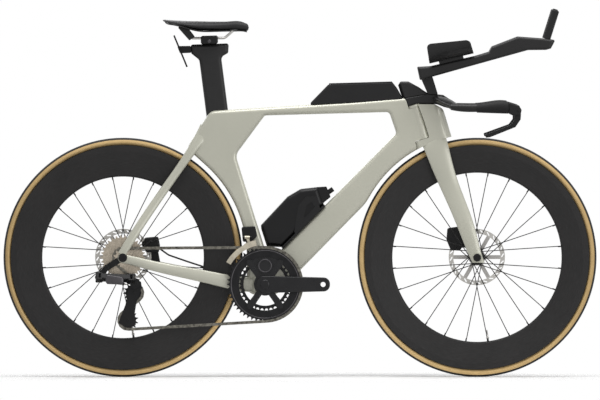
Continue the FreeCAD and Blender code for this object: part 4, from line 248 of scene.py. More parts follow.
class Finish:  # a material being built: its tree, shader and varied surface
    def __init__(self, name, light, dark, metal=0.0, rough=(0.3, 0.45), coat=0.0, coatRough=0.05,
                 broad=9.0, grain=900.0, bump=0.15, depth=0.0002, specular=0.22):
        self.material = bpy.data.materials.new(name)
        self.material.use_nodes = True
        self.tree = self.material.node_tree
        self.shader = self.tree.nodes["Principled BSDF"]
        self.shader.inputs["Metallic"].default_value = metal
        self.shader.inputs["Coat Weight"].default_value = coat
        self.shader.inputs["Coat Roughness"].default_value = coatRough
        self.shader.inputs["Specular IOR Level"].default_value = specular
        self.vary = self.tree.nodes.new("ShaderNodeGroup")
        self.vary.node_tree = surfaceGroup
        self.vary.inputs["Light"].default_value = (*light, 1)
        self.vary.inputs["Dark"].default_value = (*dark, 1)
        self.vary.inputs["Broad Scale"].default_value = broad
        self.vary.inputs["Grain Scale"].default_value = grain
        self.vary.inputs["Rough Low"].default_value, self.vary.inputs["Rough High"].default_value = rough
        self.color = self.vary.outputs["Color"]
        self.roughness = self.vary.outputs["Roughness"]
        self.height = self.vary.outputs["Height"]
        self.bump, self.depth = bump, depth

    def done(self):
        links = self.tree.links
        links.new(self.color, self.shader.inputs["Base Color"])
        links.new(self.roughness, self.shader.inputs["Roughness"])
        if self.bump:
            bumpNode = self.tree.nodes.new("ShaderNodeBump")
            bumpNode.inputs["Strength"].default_value = self.bump
            bumpNode.inputs["Distance"].default_value = self.depth
            links.new(self.height, bumpNode.inputs["Height"])
            links.new(bumpNode.outputs[0], self.shader.inputs["Normal"])
        return self.material

    def wheel(self, axle):
        node = self.tree.nodes.new("ShaderNodeGroup")
        node.node_tree = wheelGroup
        node.inputs["Axle X"].default_value = float(axle[0])
        node.inputs["Axle Z"].default_value = float(axle[2])
        return node

    def objectPlace(self):
        return self.tree.nodes.new("ShaderNodeTexCoord").outputs["Object"]

    def mapped(self, scale, turn=(0, 0, 0)):
        node = self.tree.nodes.new("ShaderNodeMapping")
        node.inputs["Scale"].default_value = scale
        node.inputs["Rotation"].default_value = turn
        self.tree.links.new(self.objectPlace(), node.inputs["Vector"])
        return node.outputs[0]

    def smoothStep(self, value, low, high):
        node = self.tree.nodes.new("ShaderNodeMapRange")
        node.interpolation_type = "SMOOTHSTEP"
        node.inputs["From Min"].default_value = low
        node.inputs["From Max"].default_value = high
        self.tree.links.new(value, node.inputs["Value"])
        return node.outputs[0]


paintLook = {"light": (0.52, 0.515, 0.425), "dark": (0.43, 0.43, 0.352), "metal": 0.2, "rough": (0.3, 0.4),
             "coat": 0.5, "coatRough": 0.1, "broad": 4.0, "grain": 2600.0, "bump": 0.05, "depth": 0.0001}
flakeLook = {"share": 0.35, "tint": (0.8, 0.79, 0.7, 1)}


def framePaint():  # metal flake under a clear coat
    finish = Finish("champagnePaint", **paintLook)
    flake = finish.tree.nodes.new("ShaderNodeTexVoronoi")
    flake.inputs["Scale"].default_value = paintLook["grain"]
    finish.tree.links.new(finish.objectPlace(), flake.inputs["Vector"])
    bright = math2(finish.tree, "MULTIPLY", flake.outputs["Distance"], flakeLook["share"])
    finish.color = mixColor(finish.tree, bright, finish.color, flakeLook["tint"])
    return finish.done()


rimLook = {"light": (0.021, 0.02, 0.02), "dark": (0.014, 0.0135, 0.0135), "rough": (0.4, 0.52), "broad": 14.0,
           "grain": 1200.0, "bump": 0.06}
rimLay = {"strand": (0.032, 0.031, 0.031, 1), "share": 0.55, "range": (0.35, 0.7), "outward": 900.0,
          "round": 14.0}


def rimCarbon(name, axle):  # matte laminate with a faint lay running round the rim
    finish = Finish(name, **rimLook)
    tree = finish.tree
    wheel = finish.wheel(axle)
    lay = tree.nodes.new("ShaderNodeCombineXYZ")
    tree.links.new(math2(tree, "MULTIPLY", wheel.outputs["Radius"], rimLay["outward"]), lay.inputs[0])
    tree.links.new(math2(tree, "MULTIPLY", wheel.outputs["Turn"], rimLay["round"]), lay.inputs[1])
    strands = noiseOf(tree, lay.outputs[0], 1.0, 2.0)
    tint = math2(tree, "MULTIPLY", finish.smoothStep(strands, *rimLay["range"]), rimLay["share"])
    finish.color = mixColor(tree, tint, finish.color, rimLay["strand"])
    finish.height = strands
    return finish.done()


layLook = {"metal": 0.0, "coatRough": 0.15, "broad": 16.0, "grain": 1500.0, "bump": 0.08}
layStrand = {"color": (0.036, 0.036, 0.038, 1), "share": 0.5, "fine": 900.0, "long": 60.0,
             "slant": (0, 0.8, 0)}


def layCarbon(name, light, dark, rough, coat):  # short strands lying two ways
    finish = Finish(name, light, dark, rough=rough, coat=coat, **layLook)
    tree = finish.tree
    fine, long = layStrand["fine"], layStrand["long"]
    one = noiseOf(tree, finish.mapped((fine, fine, long), layStrand["slant"]), 1.0, 2.0)
    two = noiseOf(tree, finish.mapped((long, fine, fine), layStrand["slant"]), 1.0, 2.0)
    strands = math2(tree, "MULTIPLY", one, two)
    share = math2(tree, "MULTIPLY", strands, layStrand["share"])
    finish.color = mixColor(tree, share, finish.color, layStrand["color"])
    finish.height = strands
    return finish.done()


tyreLook = {"tan": (0.76, 0.54, 0.25), "tanDark": (0.63, 0.43, 0.19), "tread": (0.011, 0.011, 0.0115, 1),
            "edge": 0.3342, "blur": 0.0009, "threads": 2100.0, "threadShare": 0.4, "file": 2520.0,
            "fileShare": 0.5, "sweep": 0.33}


def tyreRubber(name, axle):  # woven tan side wall below, filed black tread above
    finish = Finish(name, tyreLook["tan"], tyreLook["tanDark"], rough=(0.55, 0.75), broad=30.0, grain=1500.0,
                    bump=0.35, depth=0.0003, specular=0.3)
    tree = finish.tree
    wheel = finish.wheel(axle)
    radius = wheel.outputs["Radius"]
    swept = math2(tree, "MULTIPLY", wheel.outputs["Turn"], tyreLook["sweep"])
    threads = []
    for sign in (1, -1):
        slant = math2(tree, "MULTIPLY_ADD", radius, float(sign), swept)
        threads.append(math2(tree, "SINE", math2(tree, "MULTIPLY", slant, tyreLook["threads"])))
    weave = math2(tree, "MULTIPLY_ADD", math2(tree, "MULTIPLY", *threads), 0.5, 0.5)
    shade = math2(tree, "MULTIPLY", weave, tyreLook["threadShare"])
    cloth = mixColor(tree, shade, finish.color, (*tyreLook["tanDark"], 1))
    edge, blur = tyreLook["edge"], tyreLook["blur"]
    black = finish.smoothStep(radius, edge - blur, edge + blur)
    finish.color = mixColor(tree, black, cloth, tyreLook["tread"])
    along = math2(tree, "ADD", swept, wheel.outputs["Across"])
    file = math2(tree, "SINE", math2(tree, "MULTIPLY", along, tyreLook["file"]))
    filed = math2(tree, "MULTIPLY", file, black)
    finish.height = math2(tree, "MULTIPLY_ADD", filed, tyreLook["fileShare"], weave)
    return finish.done()


rotorLook = {"light": (0.56, 0.545, 0.515), "dark": (0.4, 0.39, 0.365), "metal": 1.0, "rough": (0.26, 0.4),
             "broad": 40.0, "grain": 1400.0, "bump": 0.1}
rotorTrack = {"inner": 0.0655, "outer": 0.0662, "outward": 4200.0, "round": 3.0, "share": 0.5,
              "worn": (0.28, 0.27, 0.255, 1), "carrier": (0.34, 0.33, 0.315, 1)}


def brakeSteel(name, axle):  # grey carrier inside, brushed track outside
    finish = Finish(name, **rotorLook)
    tree = finish.tree
    wheel = finish.wheel(axle)
    brushed = tree.nodes.new("ShaderNodeCombineXYZ")
    tree.links.new(math2(tree, "MULTIPLY", wheel.outputs["Radius"], rotorTrack["outward"]), brushed.inputs[0])
    tree.links.new(math2(tree, "MULTIPLY", wheel.outputs["Turn"], rotorTrack["round"]), brushed.inputs[1])
    lines = noiseOf(tree, brushed.outputs[0], 1.0, 2.0)
    track = finish.smoothStep(wheel.outputs["Radius"], rotorTrack["inner"], rotorTrack["outer"])
    share = math2(tree, "MULTIPLY", lines, rotorTrack["share"])
    worn = mixColor(tree, share, finish.color, rotorTrack["worn"])
    finish.color = mixColor(tree, track, rotorTrack["carrier"], worn)
    finish.height = lines
    return finish.done()


cogLook = {"light": (0.5, 0.44, 0.36), "dark": (0.28, 0.245, 0.195), "metal": 1.0, "rough": (0.22, 0.36),
           "broad": 60.0, "grain": 1500.0}
cogBand = {"pitch": 1750.0, "share": 0.12, "color": (0.1, 0.088, 0.07, 1)}


def cogNickel():  # plated cogs, each a little different in tone
    finish = Finish("cogNickel", **cogLook)
    tree = finish.tree
    wheel = finish.wheel(rearAxle)
    band = math2(tree, "SINE", math2(tree, "MULTIPLY", wheel.outputs["Across"], cogBand["pitch"]))
    share = math2(tree, "MULTIPLY_ADD", band, cogBand["share"], cogBand["share"])
    finish.color = mixColor(tree, share, finish.color, cogBand["color"])
    return finish.done()


reliefLook = {"diamonds": 1250.0, "pebbles": 700.0, "pores": 480.0, "poreEdge": (0.1, 0.5)}


def gripRubber():  # small raised diamonds
    finish = Finish("gripRubber", (0.012, 0.012, 0.0125), (0.008, 0.008, 0.0085), rough=(0.55, 0.7), bump=0.4,
                    depth=0.0004)
    tree = finish.tree
    split = tree.nodes.new("ShaderNodeSeparateXYZ")
    tree.links.new(finish.objectPlace(), split.inputs[0])
    ways = []
    for sign in (1.0, -1.0):
        slant = math2(tree, "MULTIPLY_ADD", split.outputs[2], sign, split.outputs[0])
        wave = math2(tree, "SINE", math2(tree, "MULTIPLY", slant, reliefLook["diamonds"]))
        ways.append(math2(tree, "ABSOLUTE", wave))
    finish.height = math2(tree, "MULTIPLY", *ways)
    return finish.done()


def saddleSkin():  # fine pebbled cover
    finish = Finish("saddleSkin", (0.009, 0.009, 0.0095), (0.006, 0.006, 0.0065), rough=(0.42, 0.58),
                    broad=20.0, bump=0.3, depth=0.0004)
    pebble = finish.tree.nodes.new("ShaderNodeTexVoronoi")
    pebble.inputs["Scale"].default_value = reliefLook["pebbles"]
    finish.tree.links.new(finish.objectPlace(), pebble.inputs["Vector"])
    finish.height = pebble.outputs["Distance"]
    return finish.done()


def padFoam():  # open-pored foam skin
    finish = Finish("padFoam", (0.016, 0.016, 0.0165), (0.01, 0.01, 0.0105), rough=(0.75, 0.9), broad=40.0,
                    bump=0.35, depth=0.0006)
    pores = finish.tree.nodes.new("ShaderNodeTexVoronoi")
    pores.inputs["Scale"].default_value = reliefLook["pores"]
    finish.tree.links.new(finish.objectPlace(), pores.inputs["Vector"])
    finish.height = finish.smoothStep(pores.outputs["Distance"], *reliefLook["poreEdge"])
    return finish.done()


looks = {
    "paint": framePaint(),
    "barCarbon": layCarbon("barCarbon", (0.013, 0.0125, 0.0125), (0.008, 0.008, 0.008), (0.36, 0.5), 0.06),
    "postCarbon": layCarbon("postCarbon", (0.019, 0.0185, 0.0185), (0.012, 0.012, 0.012), (0.38, 0.52), 0.05),
    "frontRim": rimCarbon("frontRimCarbon", frontAxle),
    "rearRim": rimCarbon("rearRimCarbon", rearAxle),
    "frontTyre": tyreRubber("frontTyreRubber", frontAxle),
    "rearTyre": tyreRubber("rearTyreRubber", rearAxle),
    "frontRotor": brakeSteel("frontRotorSteel", frontAxle),
    "rearRotor": brakeSteel("rearRotorSteel", rearAxle),
    "cogs": cogNickel(),
    "anodised": Finish("blackAnodised", (0.012, 0.012, 0.0125), (0.007, 0.007, 0.0075), 0.2, (0.3, 0.42),
                       broad=30.0, grain=1800.0, bump=0.06).done(),
    "crankGloss": Finish("crankGloss", (0.02, 0.02, 0.021), (0.013, 0.013, 0.014), 0.4, (0.22, 0.34),
                         0.1, 0.1, broad=18.0, grain=1500.0, bump=0.04).done(),
    "ringGrey": Finish("ringGrey", (0.018, 0.018, 0.019), (0.01, 0.01, 0.011), 0.4, (0.28, 0.4), broad=40.0,
                       grain=1600.0, bump=0.06).done(),
    "plastic": Finish("mouldedPlastic", (0.012, 0.012, 0.0125), (0.0075, 0.0075, 0.008), 0.0, (0.45, 0.6),
                      broad=24.0, grain=2200.0, bump=0.22).done(),
    "bottlePlastic": Finish("bottlePlastic", (0.006, 0.006, 0.0065), (0.004, 0.004, 0.0045), 0.0, (0.28, 0.4),
                            broad=14.0, grain=1400.0, bump=0.08).done(),
    "steel": Finish("bareSteel", (0.45, 0.44, 0.42), (0.3, 0.29, 0.28), 1.0, (0.25, 0.4), broad=50.0,
                    grain=1500.0, bump=0.08).done(),
    "guideSteel": Finish("guideSteel", (0.5, 0.46, 0.37), (0.34, 0.31, 0.25), 1.0, (0.28, 0.42), broad=40.0,
                         grain=1500.0, bump=0.06).done(),
    # chain steel: its strong light-to-dark noise, about the size of a link, paints highlights onto the chain
    # links
    "chainSteelPaintedGlints": Finish("chainSteelPaintedGlints", (0.22, 0.21, 0.18), (0.03, 0.028, 0.025), 1.0, (0.3, 0.45),
                         broad=120.0, grain=1500.0, bump=0.06).done(),
    "mechGrey": Finish("mechGrey", (0.085, 0.08, 0.086), (0.045, 0.043, 0.046), 0.6, (0.26, 0.38),
                       0.2, 0.1, broad=26.0, grain=1600.0, bump=0.05).done(),
    "alloy": Finish("machinedAlloy", (0.6, 0.6, 0.6), (0.48, 0.48, 0.48), 1.0, (0.25, 0.4), broad=60.0,
                    grain=1600.0, bump=0.06).done(),
    "spokeBlack": Finish("spokeBlack", (0.012, 0.012, 0.0125), (0.007, 0.007, 0.007), 0.2, (0.32, 0.45),
                         broad=60.0, grain=1500.0, bump=0.0).done(),
    "grip": gripRubber(),
    "skin": saddleSkin(),
    "foam": padFoam(),
    "hose": Finish("hoseRubber", (0.01, 0.01, 0.0105), (0.006, 0.006, 0.0065), 0.0, (0.4, 0.55), broad=60.0,
                   grain=2000.0, bump=0.1).done(),
}
nodeLooks = {
    "paint": "frame fork", "frontRim": "front_rim", "rearRim": "rear_rim", "frontTyre": "front_tyre",
    "rearTyre": "rear_tyre", "frontRotor": "front_rotor", "rearRotor": "rear_rotor",
    "spokeBlack": "front_spokes rear_spokes", "cogs": "cassette", "chainSteelPaintedGlints": "chain",
    "alloy": "freehub_body", "steel": "headset_bearings saddle_rails", "guideSteel": "front_derailleur_cage",
    "postCarbon": "seatpost saddle_shell", "barCarbon": "base_bar extensions stem_fairing riser arm_cups",
    "anodised": "front_hub rear_hub front_axle rear_axle saddle_clamp accessory_bracket rear_caliper"
                " front_caliper brake_lever_right brake_lever_left bottom_bracket crank_spindle"
                " derailleur_hanger derailleur_link_outer derailleur_link_inner derailleur_knuckle"
                " derailleur_cage front_derailleur",
    "crankGloss": "crank_arm_right crank_arm_left", "ringGrey": "chainring_large chainring_small",
    "grip": "bar_grips extension_grips", "skin": "saddle_cover", "foam": "arm_pads",
    "hose": "rear_brake_hose",
    "plastic": "top_tube_box top_tube_lid bottle_cage guide_pulley tension_pulley shift_button_right"
               " shift_button_left",
    "bottlePlastic": "bottle bottle_cap bottle_nozzle",
}
for look, names in nodeLooks.items():
    for name in names.split():
        nodes[name].data.materials.clear()
        nodes[name].data.materials.append(looks[look])
print("materials:", len(looks))


# Tyres: a rounded section swept round the axle

tyreSize = {"middle": 0.3266, "halfWidth": 0.0141, "rise": 0.0134, "drop": 0.0084, "pinch": 0.12,
            "sections": 40, "steps": 288}


def makeTyre(name, axle, look, node, body):
    angle = np.linspace(0, 2 * math.pi, tyreSize["sections"], endpoint=False)
    turn = np.linspace(0, 2 * math.pi, tyreSize["steps"], endpoint=False)
    lift = np.where(np.sin(angle) > 0, tyreSize["rise"], tyreSize["drop"]) * np.sin(angle)
    radius = tyreSize["middle"] + lift
    narrowed = np.where(np.sin(angle) > 0, 1.0, 1 + tyreSize["pinch"] * np.sin(angle))
    side = tyreSize["halfWidth"] * np.cos(angle) * narrowed
    points = np.empty((tyreSize["steps"], tyreSize["sections"], 3))
    points[..., 0] = axle[0] + np.cos(turn)[:, None] * radius
    points[..., 1] = side
    points[..., 2] = axle[2] + np.sin(turn)[:, None] * radius
    faces = gridFaces(tyreSize["steps"], tyreSize["sections"], True, True)
    piece = meshObject(name, points, faces, looks[look], body)
    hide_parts(node)


makeTyre("tyreFront", frontAxle, "frontTyre", "front_tyre", "front_wheel")
makeTyre("tyreRear", rearAxle, "rearTyre", "rear_tyre", "rear_wheel")
print("tyres")


# Valves and spoke nipples

valveSize = {"turn": -82.5, "sink": 0.004, "steps": 14}
valveProfile = [(0, 0.0), (0.003, 0.0), (0.003, -0.012), (0.0046, -0.012), (0.0046, -0.0145),
                (0.003, -0.0145), (0.003, -0.027), (0.0026, -0.0275), (0.0026, -0.0345), (0.0016, -0.036),
                (0, -0.036)]
nippleSize = {"count": 24, "firstTurn": 90, "steps": 10}
nippleProfile = [(0, 0.004), (0.0021, 0.004), (0.0021, -0.006), (0.0014, -0.0085), (0, -0.0085)]
noseRadii = {"Front": 0.2405, "Rear": 0.2295}


def makeWheelDetails(hand, axle, body):
    turn = math.radians(valveSize["turn"])
    out = np.array([math.cos(turn), 0, math.sin(turn)])
    turnedMany("valve" + hand, [axle + out * (noseRadii[hand] + valveSize["sink"])], [out], valveProfile,
               valveSize["steps"], looks["steel"], body)
    count = nippleSize["count"]
    angles = np.radians((np.arange(count) + 0.5) * 360 / count + nippleSize["firstTurn"])
    outs = np.stack([np.cos(angles), np.zeros(count), np.sin(angles)], -1)
    turnedMany("nipples" + hand, axle + outs * noseRadii[hand], outs, nippleProfile, nippleSize["steps"],
               looks["spokeBlack"], body)


makeWheelDetails("Front", frontAxle, "front_wheel")
makeWheelDetails("Rear", rearAxle, "rear_wheel")
print("valves and nipples")


# Saddle cover: ovals along the saddle with a crowned top, drawn-in sides, a relief channel and two sewn lines

# stations along the saddle, heights counted downward in the same unit, half widths as shares of the length
saddleSize = {
    "columns": (164.5, 172, 183, 196, 210, 224, 237, 246.6),
    "top": (19.6, 20.3, 20.9, 21.2, 21.4, 21.3, 21, 24.5),
    "edge": (20.6, 22.6, 25, 27, 28, 28, 28, 29),
    "low": (21.3, 24, 26.6, 30, 30.8, 30.4, 30.2, 31.2),
    "half": (0.13, 0.245, 0.285, 0.255, 0.175, 0.125, 0.1, 0.07),
    "length": 0.244, "tuck": 0.2, "squareSide": 0.72, "squareTop": 0.8, "steps": 120, "loop": 96,
    "endRound": 0.006, "overhang": (0.0065, 0.0055), "channelDepth": 0.0028, "channelWidth": 0.009,
    "channelColumns": (184, 240), "channelFade": 10, "seamDepth": 0.0007, "seamPlace": 0.8,
    "seamWidth": 0.035, "upperSine": 0.05,
}


def smoothLine(places, values, wanted):  # a cubic through the stations, with slopes from their neighbours
    places, values = np.asarray(places, float), np.asarray(values, float)
    slopes = np.gradient(values, places)
    k = np.clip(np.searchsorted(places, wanted) - 1, 0, len(places) - 2)
    gap = places[k + 1] - places[k]
    t = (wanted - places[k]) / gap
    return ((2 * t**3 - 3 * t**2 + 1) * values[k] + (t**3 - 2 * t**2 + t) * gap * slopes[k]
            + (3 * t**2 - 2 * t**3) * values[k + 1] + (t**3 - t**2) * gap * slopes[k + 1])


def makeSaddleCover():
    low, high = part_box("saddle_cover")
    size = saddleSize
    columns = np.linspace(size["columns"][0], size["columns"][-1], size["steps"])
    perPixel = (high.x - low.x) / (columns[-1] - columns[0])
    rows = [smoothLine(size["columns"], size[key], columns) for key in ("top", "edge", "low")]
    top, edge, bottom = [low.z + (size["low"][-1] - row[:, None]) * perPixel for row in rows]
    half = (smoothLine(size["columns"], size["half"], columns) * size["length"])[:, None]
    x = np.linspace(low.x - size["overhang"][0], high.x + size["overhang"][1], size["steps"])
    fromEnd = np.minimum(x - x[0], x[-1] - x) / size["endRound"]
    shrink = np.sqrt(np.clip(1 - (1 - np.clip(fromEnd, 0, 1)) ** 2, 0, 1))[:, None]
    angle = np.linspace(0, 2 * math.pi, size["loop"], endpoint=False)
    c, s = np.cos(angle), np.sin(angle)
    wide = np.sign(c) * np.abs(c) ** size["squareSide"]
    rise = np.abs(s) ** size["squareTop"]
    y = half * wide * np.where(s < 0, 1 - size["tuck"] * rise, 1.0)
    height = np.where(s > 0, (top - edge) * rise, -(edge - bottom) * rise)
    first, last = size["channelColumns"]
    fade = size["channelFade"]
    window = np.clip((columns - first) / fade, 0, 1) * np.clip((last - columns) / fade, 0, 1)
    eased = (window**2 * (3 - 2 * window))[:, None]
    channel = size["channelDepth"] * np.exp(-(y / size["channelWidth"]) ** 2) * eased
    seam = size["seamDepth"] * np.exp(-((np.abs(y) / half - size["seamPlace"]) / size["seamWidth"]) ** 2)
    height = height - np.where(s > size["upperSine"], channel + seam, 0)
    points = np.empty((size["steps"], size["loop"], 3))
    points[..., 0] = x[:, None]
    points[..., 1] = y * shrink
    points[..., 2] = (top + bottom) / 2 + (edge + height - (top + bottom) / 2) * shrink
    faces = gridFaces(size["steps"], size["loop"], False, True)
    cover = meshObject("saddleCover", points, faces, looks["skin"], "seat")
    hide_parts("saddle_cover")


makeSaddleCover()
print("saddle cover")


# Arm pads: a crowned cushion bent round the cup, thin at its rim

padSize = {"start": (0.36218, 0.0, 0.93711), "along": (0.974211, 0.0, 0.22564), "side": 0.068,
           "radius": 0.0427, "depth": 0.009, "first": -39.3, "last": 83.3, "length": 0.109, "inset": 0.0035,
           "rimPower": 8, "flatShare": 0.72, "crownShare": 0.28, "quiltDepth": 0.0011, "quiltPlace": 0.42,
           "quiltWidth": 0.035, "steps": 64, "loop": 88}


def makeArmPads():
    size = padSize
    along = np.array(size["along"])
    down = np.array([size["along"][2], 0, -size["along"][0]])
    u = np.linspace(-1, 1, size["steps"])[:, None]
    loop = np.linspace(0, 2 * math.pi, size["loop"], endpoint=False)
    v = -np.cos(loop)[None, :]
    inner = np.sin(loop)[None, :] > 0
    power = size["rimPower"]
    rim = np.sqrt(np.clip(1 - u**power, 0, 1)) * np.sqrt(np.clip(1 - v**power, 0, 1))
    crown = rim * (size["flatShare"] + size["crownShare"] * (1 - v**2) * (1 - u**2))
    pressed = np.exp(-((np.abs(v) - size["quiltPlace"]) / size["quiltWidth"]) ** 2)
    quilt = size["quiltDepth"] * pressed * rim  # two pressed lines along each pad
    radius = np.where(inner, size["radius"] - size["depth"] * crown + quilt, size["radius"])
    turn = np.radians((size["first"] + size["last"]) / 2 + v * (size["last"] - size["first"]) / 2)
    faces = gridFaces(size["steps"], size["loop"], False, True)
    for side, hand in ((-1, "Right"), (1, "Left")):
        start = np.array(size["start"]) + np.array([0, side * size["side"], 0]) + along * size["inset"]
        points = (start + along * ((u + 1) / 2 * size["length"])[..., None]
                  + down * (radius * np.cos(turn))[..., None]
                  + np.array([0, side, 0]) * (radius * np.sin(turn))[..., None])
        pad = meshObject("armPad" + hand, points, faces, looks["foam"], "steering")
        if side < 0:
            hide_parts("arm_pads")


makeArmPads()
print("arm pads")


# Screws, caps and lock rings

leftward, rightward = (0, 1, 0), (0, -1, 0)
screwPlaces = {  # places, directions, radius, height, look, body, slot
    "pulleyScrews": ([jointPlace(pulley) + (0, -0.0066, 0) for pulley in ("guide_pulley", "tension_pulley")],
                     [rightward] * 2, 0.004, 0.0012, "anodised", "mech_cage", "black"),
    "rearAxleEnds": ([rearAxle + (0, -0.08, 0), rearAxle + (0, 0.08, 0)], [rightward, leftward],
                     0.0125, 0.0024, "anodised", "frame", "black"),
    "frontAxleEnds": ([frontAxle + (0, -0.06, 0), frontAxle + (0, 0.06, 0)], [rightward, leftward],
                      0.0112, 0.0022, "anodised", "steering", "black"),
    "hangerScrew": ([(-0.54895, -0.09, 0.31131)], [rightward],
                    0.0062, 0.0022, "anodised", "frame", "black"),
    "cagePivotCap": ([jointPlace("chain_tensioner") + (0, -0.012, 0)], [rightward],
                     0.009, 0.0018, "anodised", "knuckle", "black"),
    "rearCaliperScrews": ([(-0.42512, 0.0675, 0.39086), (-0.41944, 0.0675, 0.35817)], [leftward] * 2,
                          0.0042, 0.0022, "steel", "frame", "steel"),
    "frontCaliperScrews": ([(0.43362, 0.0495, 0.41511), (0.44783, 0.0495, 0.3696)], [leftward] * 2,
                           0.0042, 0.0022, "steel", "steering", "steel"),
    "saddleClampScrews": ([(-0.25765, -0.031, 0.95499), (-0.25765, 0.031, 0.95499)], [rightward, leftward],
                          0.0046, 0.0022, "mechGrey", "seat", "black"),
    "armRestScrews": ([(0.3465, -0.034, 0.8792), (0.3465, 0.034, 0.8792), (0.3605, -0.034, 0.8792),
                       (0.3605, 0.034, 0.8792)], [(0, 0, 1)] * 4,
                      0.0038, 0.0018, "steel", "steering", "steel"),
    "crankPreload": ([bracket + (0, 0.0705, 0)], [leftward],
                     0.0115, 0.0025, "plastic", "crank", "plastic"),
    "leverPivots": ([jointPlace(lever) + (0, side, 0) for lever in ("brake_right", "brake_left")
                     for side in (-0.011, 0.011)], [rightward, leftward] * 2,
                    0.0034, 0.0026, "anodised", "steering", "black"),
}
for name, row in screwPlaces.items():
    screws(name, *row)

ringSize = {"inner": 0.0133, "outer": 0.0205, "thick": 0.0026, "chamfer": 0.0008, "steps": 48}
ringPlaces = {"frontLockRing": (frontAxle, 0.0369, "front_wheel"),
              "rearLockRing": (rearAxle, 0.0549, "rear_wheel")}


def makeLockRing(name, axle, side, body):  # holds a rotor on its hub
    inner, outer, thick, chamfer = (ringSize[key] for key in ("inner", "outer", "thick", "chamfer"))
    profile = [(inner, 0), (inner, thick), (outer - chamfer, thick), (outer, thick - chamfer), (outer, 0),
               (inner, 0)]
    turnedMany(name, [axle + (0, side, 0)], [leftward], profile, ringSize["steps"], looks["anodised"], body,
               smooth=False)


for name, row in ringPlaces.items():
    makeLockRing(name, *row)
print("screws and rings")


# Chainset cap, ring lip and derailleur cover

capProfile = [(0, 0.0026), (0.007, 0.0025), (0.011, 0.0019), (0.0134, 0.0006), (0.0138, -0.0008),
              (0, -0.0008)]
lipProfile = [(0.0945, -0.0004), (0.0945, 0.001), (0.0955, 0.0015), (0.0968, 0.0015), (0.0978, 0.001),
              (0.0978, -0.0004), (0.0945, -0.0004)]
podProfile = [(0.0162, -0.0004), (0.0162, 0.0012), (0.0169, 0.0016), (0.0186, 0.0016), (0.0193, 0.0012),
              (0.0193, -0.0004), (0.0162, -0.0004)]
chainsetRings = {  # place from the bottom bracket, profile, steps, look
    "crankCap": ((0, -0.0702, 0), capProfile, 48, "crankGloss"),
    "ringLip": ((0, -0.0488, 0), lipProfile, 160, "mechGrey"),
    "podRing": ((0, -0.06, 0.053), podProfile, 64, "mechGrey"),
}
coverSize ={"root": (-0.553, -0.094, 0.2795), "end": (-0.4995, -0.0895, 0.2745), "high": (0.0138, 0.0108),
             "deep": (0.0072, 0.0064), "square": 0.55, "endRound": 0.16, "steps": 48, "loop": 56}


def makeMechCover():  # squared ovals between two ends, drawn in to a rounded edge at both
    size = coverSize
    t = np.linspace(0, 1, size["steps"])[:, None]
    fromEnd = np.clip(np.minimum(t, 1 - t) / size["endRound"], 0, 1)
    shrink = np.sqrt(1 - (1 - fromEnd) ** 2)
    angle = np.linspace(0, 2 * math.pi, size["loop"], endpoint=False)
    sideways = np.sign(np.cos(angle)) * np.abs(np.cos(angle)) ** size["square"]
    upward = np.sign(np.sin(angle)) * np.abs(np.sin(angle)) ** size["square"]
    middle = np.array(size["root"]) * (1 - t) + np.array(size["end"]) * t
    high = size["high"][0] * (1 - t) + size["high"][1] * t
    deep = size["deep"][0] * (1 - t) + size["deep"][1] * t
    points = np.empty((size["steps"], size["loop"], 3))
    points[..., 0] = middle[:, :1]
    points[..., 1] = middle[:, 1:2] + deep * shrink * sideways
    points[..., 2] = middle[:, 2:] + high * shrink * upward
    faces = gridFaces(size["steps"], size["loop"], False, True)
    meshObject("derailleurCover", points, faces, looks["mechGrey"], "link_outer")


for name, (place, profile, steps, look) in chainsetRings.items():
    turnedMany(name, [bracket + place], [rightward], profile, steps, looks[look], "crank")
makeMechCover()
print("chainset and derailleur covers")


# Floor, light and camera

stageLook = {"floor": (0.93, 0.93, 0.93, 1), "rough": 0.9, "specular": 0.1, "half": (3.0, 2.0), "count": 21,
             "fadeStart": 0.42, "fadeEnd": 0.86, "reach": (0.72, 1.5), "world": 0.3}


def makeStage():  # a pale floor that fades out round the bike
    count = stageLook["count"]
    steps = np.linspace(-1, 1, count)
    x, y = np.meshgrid(steps * stageLook["half"][0], steps * stageLook["half"][1], indexing="ij")
    points = np.stack([x, y, np.zeros_like(x)], -1)
    mesh = bpy.data.meshes.new("floor")
    mesh.from_pydata(points.reshape(-1, 3).tolist(), [], gridFaces(count, count, False, False))
    floor = bpy.data.objects.new("floor", mesh)
    scene.collection.objects.link(floor)
    material = bpy.data.materials.new("paleFloor")
    material.use_nodes = True
    tree = material.node_tree
    shader = tree.nodes["Principled BSDF"]
    shader.inputs["Base Color"].default_value = stageLook["floor"]
    shader.inputs["Roughness"].default_value = stageLook["rough"]
    shader.inputs["Specular IOR Level"].default_value = stageLook["specular"]
    split = tree.nodes.new("ShaderNodeSeparateXYZ")
    tree.links.new(tree.nodes.new("ShaderNodeTexCoord").outputs["Object"], split.inputs[0])
    long = math2(tree, "MULTIPLY", split.outputs[0], stageLook["reach"][0])
    wide = math2(tree, "MULTIPLY", split.outputs[1], stageLook["reach"][1])
    reach = math2(tree, "SQRT", math2(tree, "MULTIPLY_ADD", long, long, math2(tree, "MULTIPLY", wide, wide)))
    fade = tree.nodes.new("ShaderNodeMapRange")
    fade.interpolation_type = "SMOOTHSTEP"
    fade.inputs["From Min"].default_value = stageLook["fadeStart"]
    fade.inputs["From Max"].default_value = stageLook["fadeEnd"]
    tree.links.new(reach, fade.inputs["Value"])
    mix = tree.nodes.new("ShaderNodeMixShader")
    tree.links.new(fade.outputs[0], mix.inputs[0])
    tree.links.new(shader.outputs[0], mix.inputs[1])
    tree.links.new(tree.nodes.new("ShaderNodeBsdfTransparent").outputs[0], mix.inputs[2])
    tree.links.new(mix.outputs[0], tree.nodes["Material Output"].inputs[0])
    mesh.materials.append(material)


